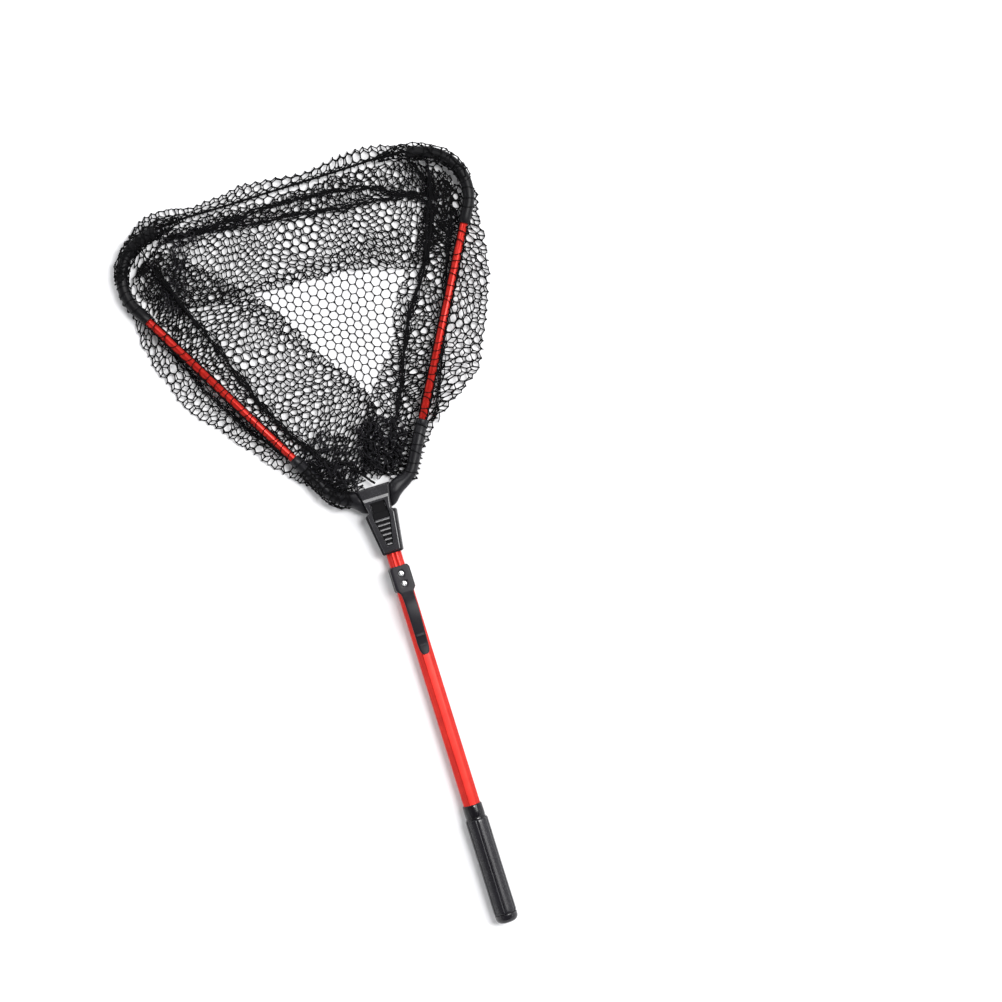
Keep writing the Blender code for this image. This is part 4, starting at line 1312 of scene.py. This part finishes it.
def loops_on_arm(side, word):
    g = np.random.default_rng(800 + side)
    parts = []
    s = 30.0
    while s < END_RUN + STRAIGHT - 2:
        p, d = root_path(s)
        parts.append(ring_loop(p, d, float(root_high(s)) + 0.5, g.uniform(-2.5, 2.5), side))
        s += g.uniform(8.5, 10.5)
    run = 4.0
    while run < 202:
        parts.append(ring_loop(ROOT_END + E * run, E, 5.25, g.uniform(-4.5, 4.5), side, 0.46))
        run += g.uniform(7.5, 11.0)
    for k, d in enumerate((4.35, -4.35)):
        edge = [ROOT_END + E * r + left_of(E) * d for r in (4, 40, 80, 120, 160, 203)]
        parts += bundle(raised([p * (side, 1) for p in edge], AXIS_Z + 1.2), 830 + 7 * k + 3 * side, 2, 0.9, 0.55, 0.45, 0.6)
    ang = 0.0
    while ang < 101:
        d = heading(29.3 - ang)
        parts.append(ring_loop(BOW_C - left_of(d) * 46.0, d, 6.5, g.uniform(-2.5, 2.5), side))
        ang += g.uniform(10, 13)
    o = joined(f"net_loops_{word}", parts)
    return finish_mesh(o, TWINE, f"arm_{word}", (), None)


loops_right = loops_on_arm(1, "right")
loops_left = loops_on_arm(-1, "left")


def sleeve(name, body, side, ends, girth, seed, width, height):
    """A piece of the wall's edge gathered round a bar of the hoop, like a loose sleeve."""
    line = spline(ends, 200)
    tangent = np.gradient(line, axis=0)
    tangent /= np.linalg.norm(tangent, axis=1, keepdims=True)
    share = np.linspace(0, 1, 200)
    w1, w2, w3 = Waves(seed, 12, 40), Waves(seed + 1, 12, 40), Waves(seed + 2, 12, 40)

    def place(u, v):
        s = np.clip(u / width + 0.03 * w1(u, v), 0, 1)
        c = np.stack([np.interp(s, share, line[:, k]) for k in (0, 1)], -1)
        d = np.stack([np.interp(s, share, tangent[:, k]) for k in (0, 1)], -1)
        ang = -math.pi / 2 + 2 * math.pi * v / height + 0.3 * w2(u, v)
        r = girth(s) + 1.7 * np.abs(w3(u, v)) * step(0, 0.25, s)
        xy = c + np.stack([-d[..., 1], d[..., 0]], -1) * (r * np.cos(ang))[..., None]
        return np.stack([side * xy[..., 0], xy[..., 1], np.maximum(AXIS_Z + r * np.sin(ang), 1.0)], -1)

    def inside(u, v):
        return (u >= 0) & (u <= width) & (v >= 0) & (v <= height)

    u, v, edges = lattice(width, height)
    o = netting(name, u, v, edges, place, inside, seed)
    return finish_mesh(o, TWINE, body, (), None)


bow_ends = [BOW_C - left_of(heading(d)) * 46.0 for d in (-8, -20, -32, -44, -56, -68)]
bow_ends += [BOW_TIP - TIP * 8.0, BOW_TIP, BOW_TIP + TIP * 5.0]
bow_ends += [np.array([BOW_TIP[0] - 16.0, BOW_TIP[1] + 2.2]), np.array([BOW_TIP[0] - 30.0, BOW_TIP[1] + 2.3])]
bow_girth = curve((0, 7.0), (0.3, 7.2), (0.6, 7.8), (0.75, 6.6), (0.9, 4.0), (1.0, 2.2))
wrap_right = sleeve("net_wrap_right", "arm_right", 1, bow_ends, bow_girth, 741, 105, 58)
wrap_left = sleeve("net_wrap_left", "arm_left", -1, bow_ends, bow_girth, 721, 150, 70)
root_ends = [root_path(float(r))[0] for r in np.linspace(7, END_RUN + STRAIGHT - 14, 10)]
root_girth = curve((0, 10.2), (0.3, 8.6), (0.7, 7.4), (1.0, 7.0))
wrap_root = sleeve("net_wrap_root_left", "arm_left", -1, root_ends, root_girth, 761, 98, 80)

# front cord, braided, from the end of one bow to the other
half = [
    BOW_TIP - TIP * 9.0,
    BOW_TIP - TIP * 4.0,
    BOW_TIP + TIP * 1.5,
    BOW_TIP + TIP * 5.0 + np.array([-1.0, 0.0]),
    np.array([BOW_TIP[0] - 14.0, BOW_TIP[1] + 2.2]),
    np.array([60.0, BOW_TIP[1] + 2.3]),
]
cord_pts = raised(half + [p * (-1, 1) for p in half[::-1]], AXIS_Z)
cord_line = spline(cord_pts, 140)
braid = []
cv, cq, ct = tube_along(cord_line, 1.12, 12)
braid.append((cv, cq, ct))
run = np.concatenate([[0], np.cumsum(np.linalg.norm(np.diff(cord_line, axis=0), axis=1))])
fine_run = np.linspace(0, run[-1], 420)
axis_line = np.stack([np.interp(fine_run, run, cord_line[:, k]) for k in range(3)], 1)
tan = np.gradient(axis_line, axis=0)
tan /= np.linalg.norm(tan, axis=1, keepdims=True)
nrm = np.stack([-tan[:, 1], tan[:, 0], np.zeros(len(tan))], 1)
bin_ = np.cross(tan, nrm)
for k in range(4):
    ph = 2 * np.pi * (fine_run / 7.5 + k / 4)
    braid.append(tube_along(axis_line + 0.86 * (np.cos(ph)[:, None] * nrm + np.sin(ph)[:, None] * bin_), 0.44, 5))
front_cord = joined("front_cord_braid", braid)
finish_mesh(front_cord, CORD, "net", ["front_cord"], None)

cord_loops = []
x = -128.0
g = np.random.default_rng(900)
while x < 128:
    p = np.array([x, BOW_TIP[1] + 2.3])
    cord_loops.append(ring_loop(p, np.array([1.0, 0.0]), 1.95, g.uniform(-2, 2), 1, 0.45, 12))
    x += g.uniform(8.5, 10.5)
loops_front = joined("net_loops_front", cord_loops)
finish_mesh(loops_front, TWINE, "net", (), None)

# ------------------------------------------------------------------ what each soft piece rides on
for o, body in (
    (left_net, "arm_left"),
    (right_net, "arm_right"),
    (front_net, "net"),
    (bottom_net, "net"),
):
    finish_mesh(o, TWINE, body, (), None)
for o in (bunch_yoke, bunch_left, fold_left, fold_front):
    finish_mesh(o, BUNCH, "net", (), None)
for o, body in ((hem_left, "arm_left"), (hem_right, "arm_right"), (hem_front, "net")):
    finish_mesh(o, HEM, body, (), None)
for o in (bottom_net, front_net):
    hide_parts("net_bag")

for o in (left_net, hem_left):
    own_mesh(o)
for o in (right_net, hem_right):
    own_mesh(o)
for o in (front_net, fold_front, hem_front, front_cord, loops_front):
    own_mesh(o)
for o in (bottom_net, bunch_yoke, bunch_left, fold_left):
    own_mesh(o)
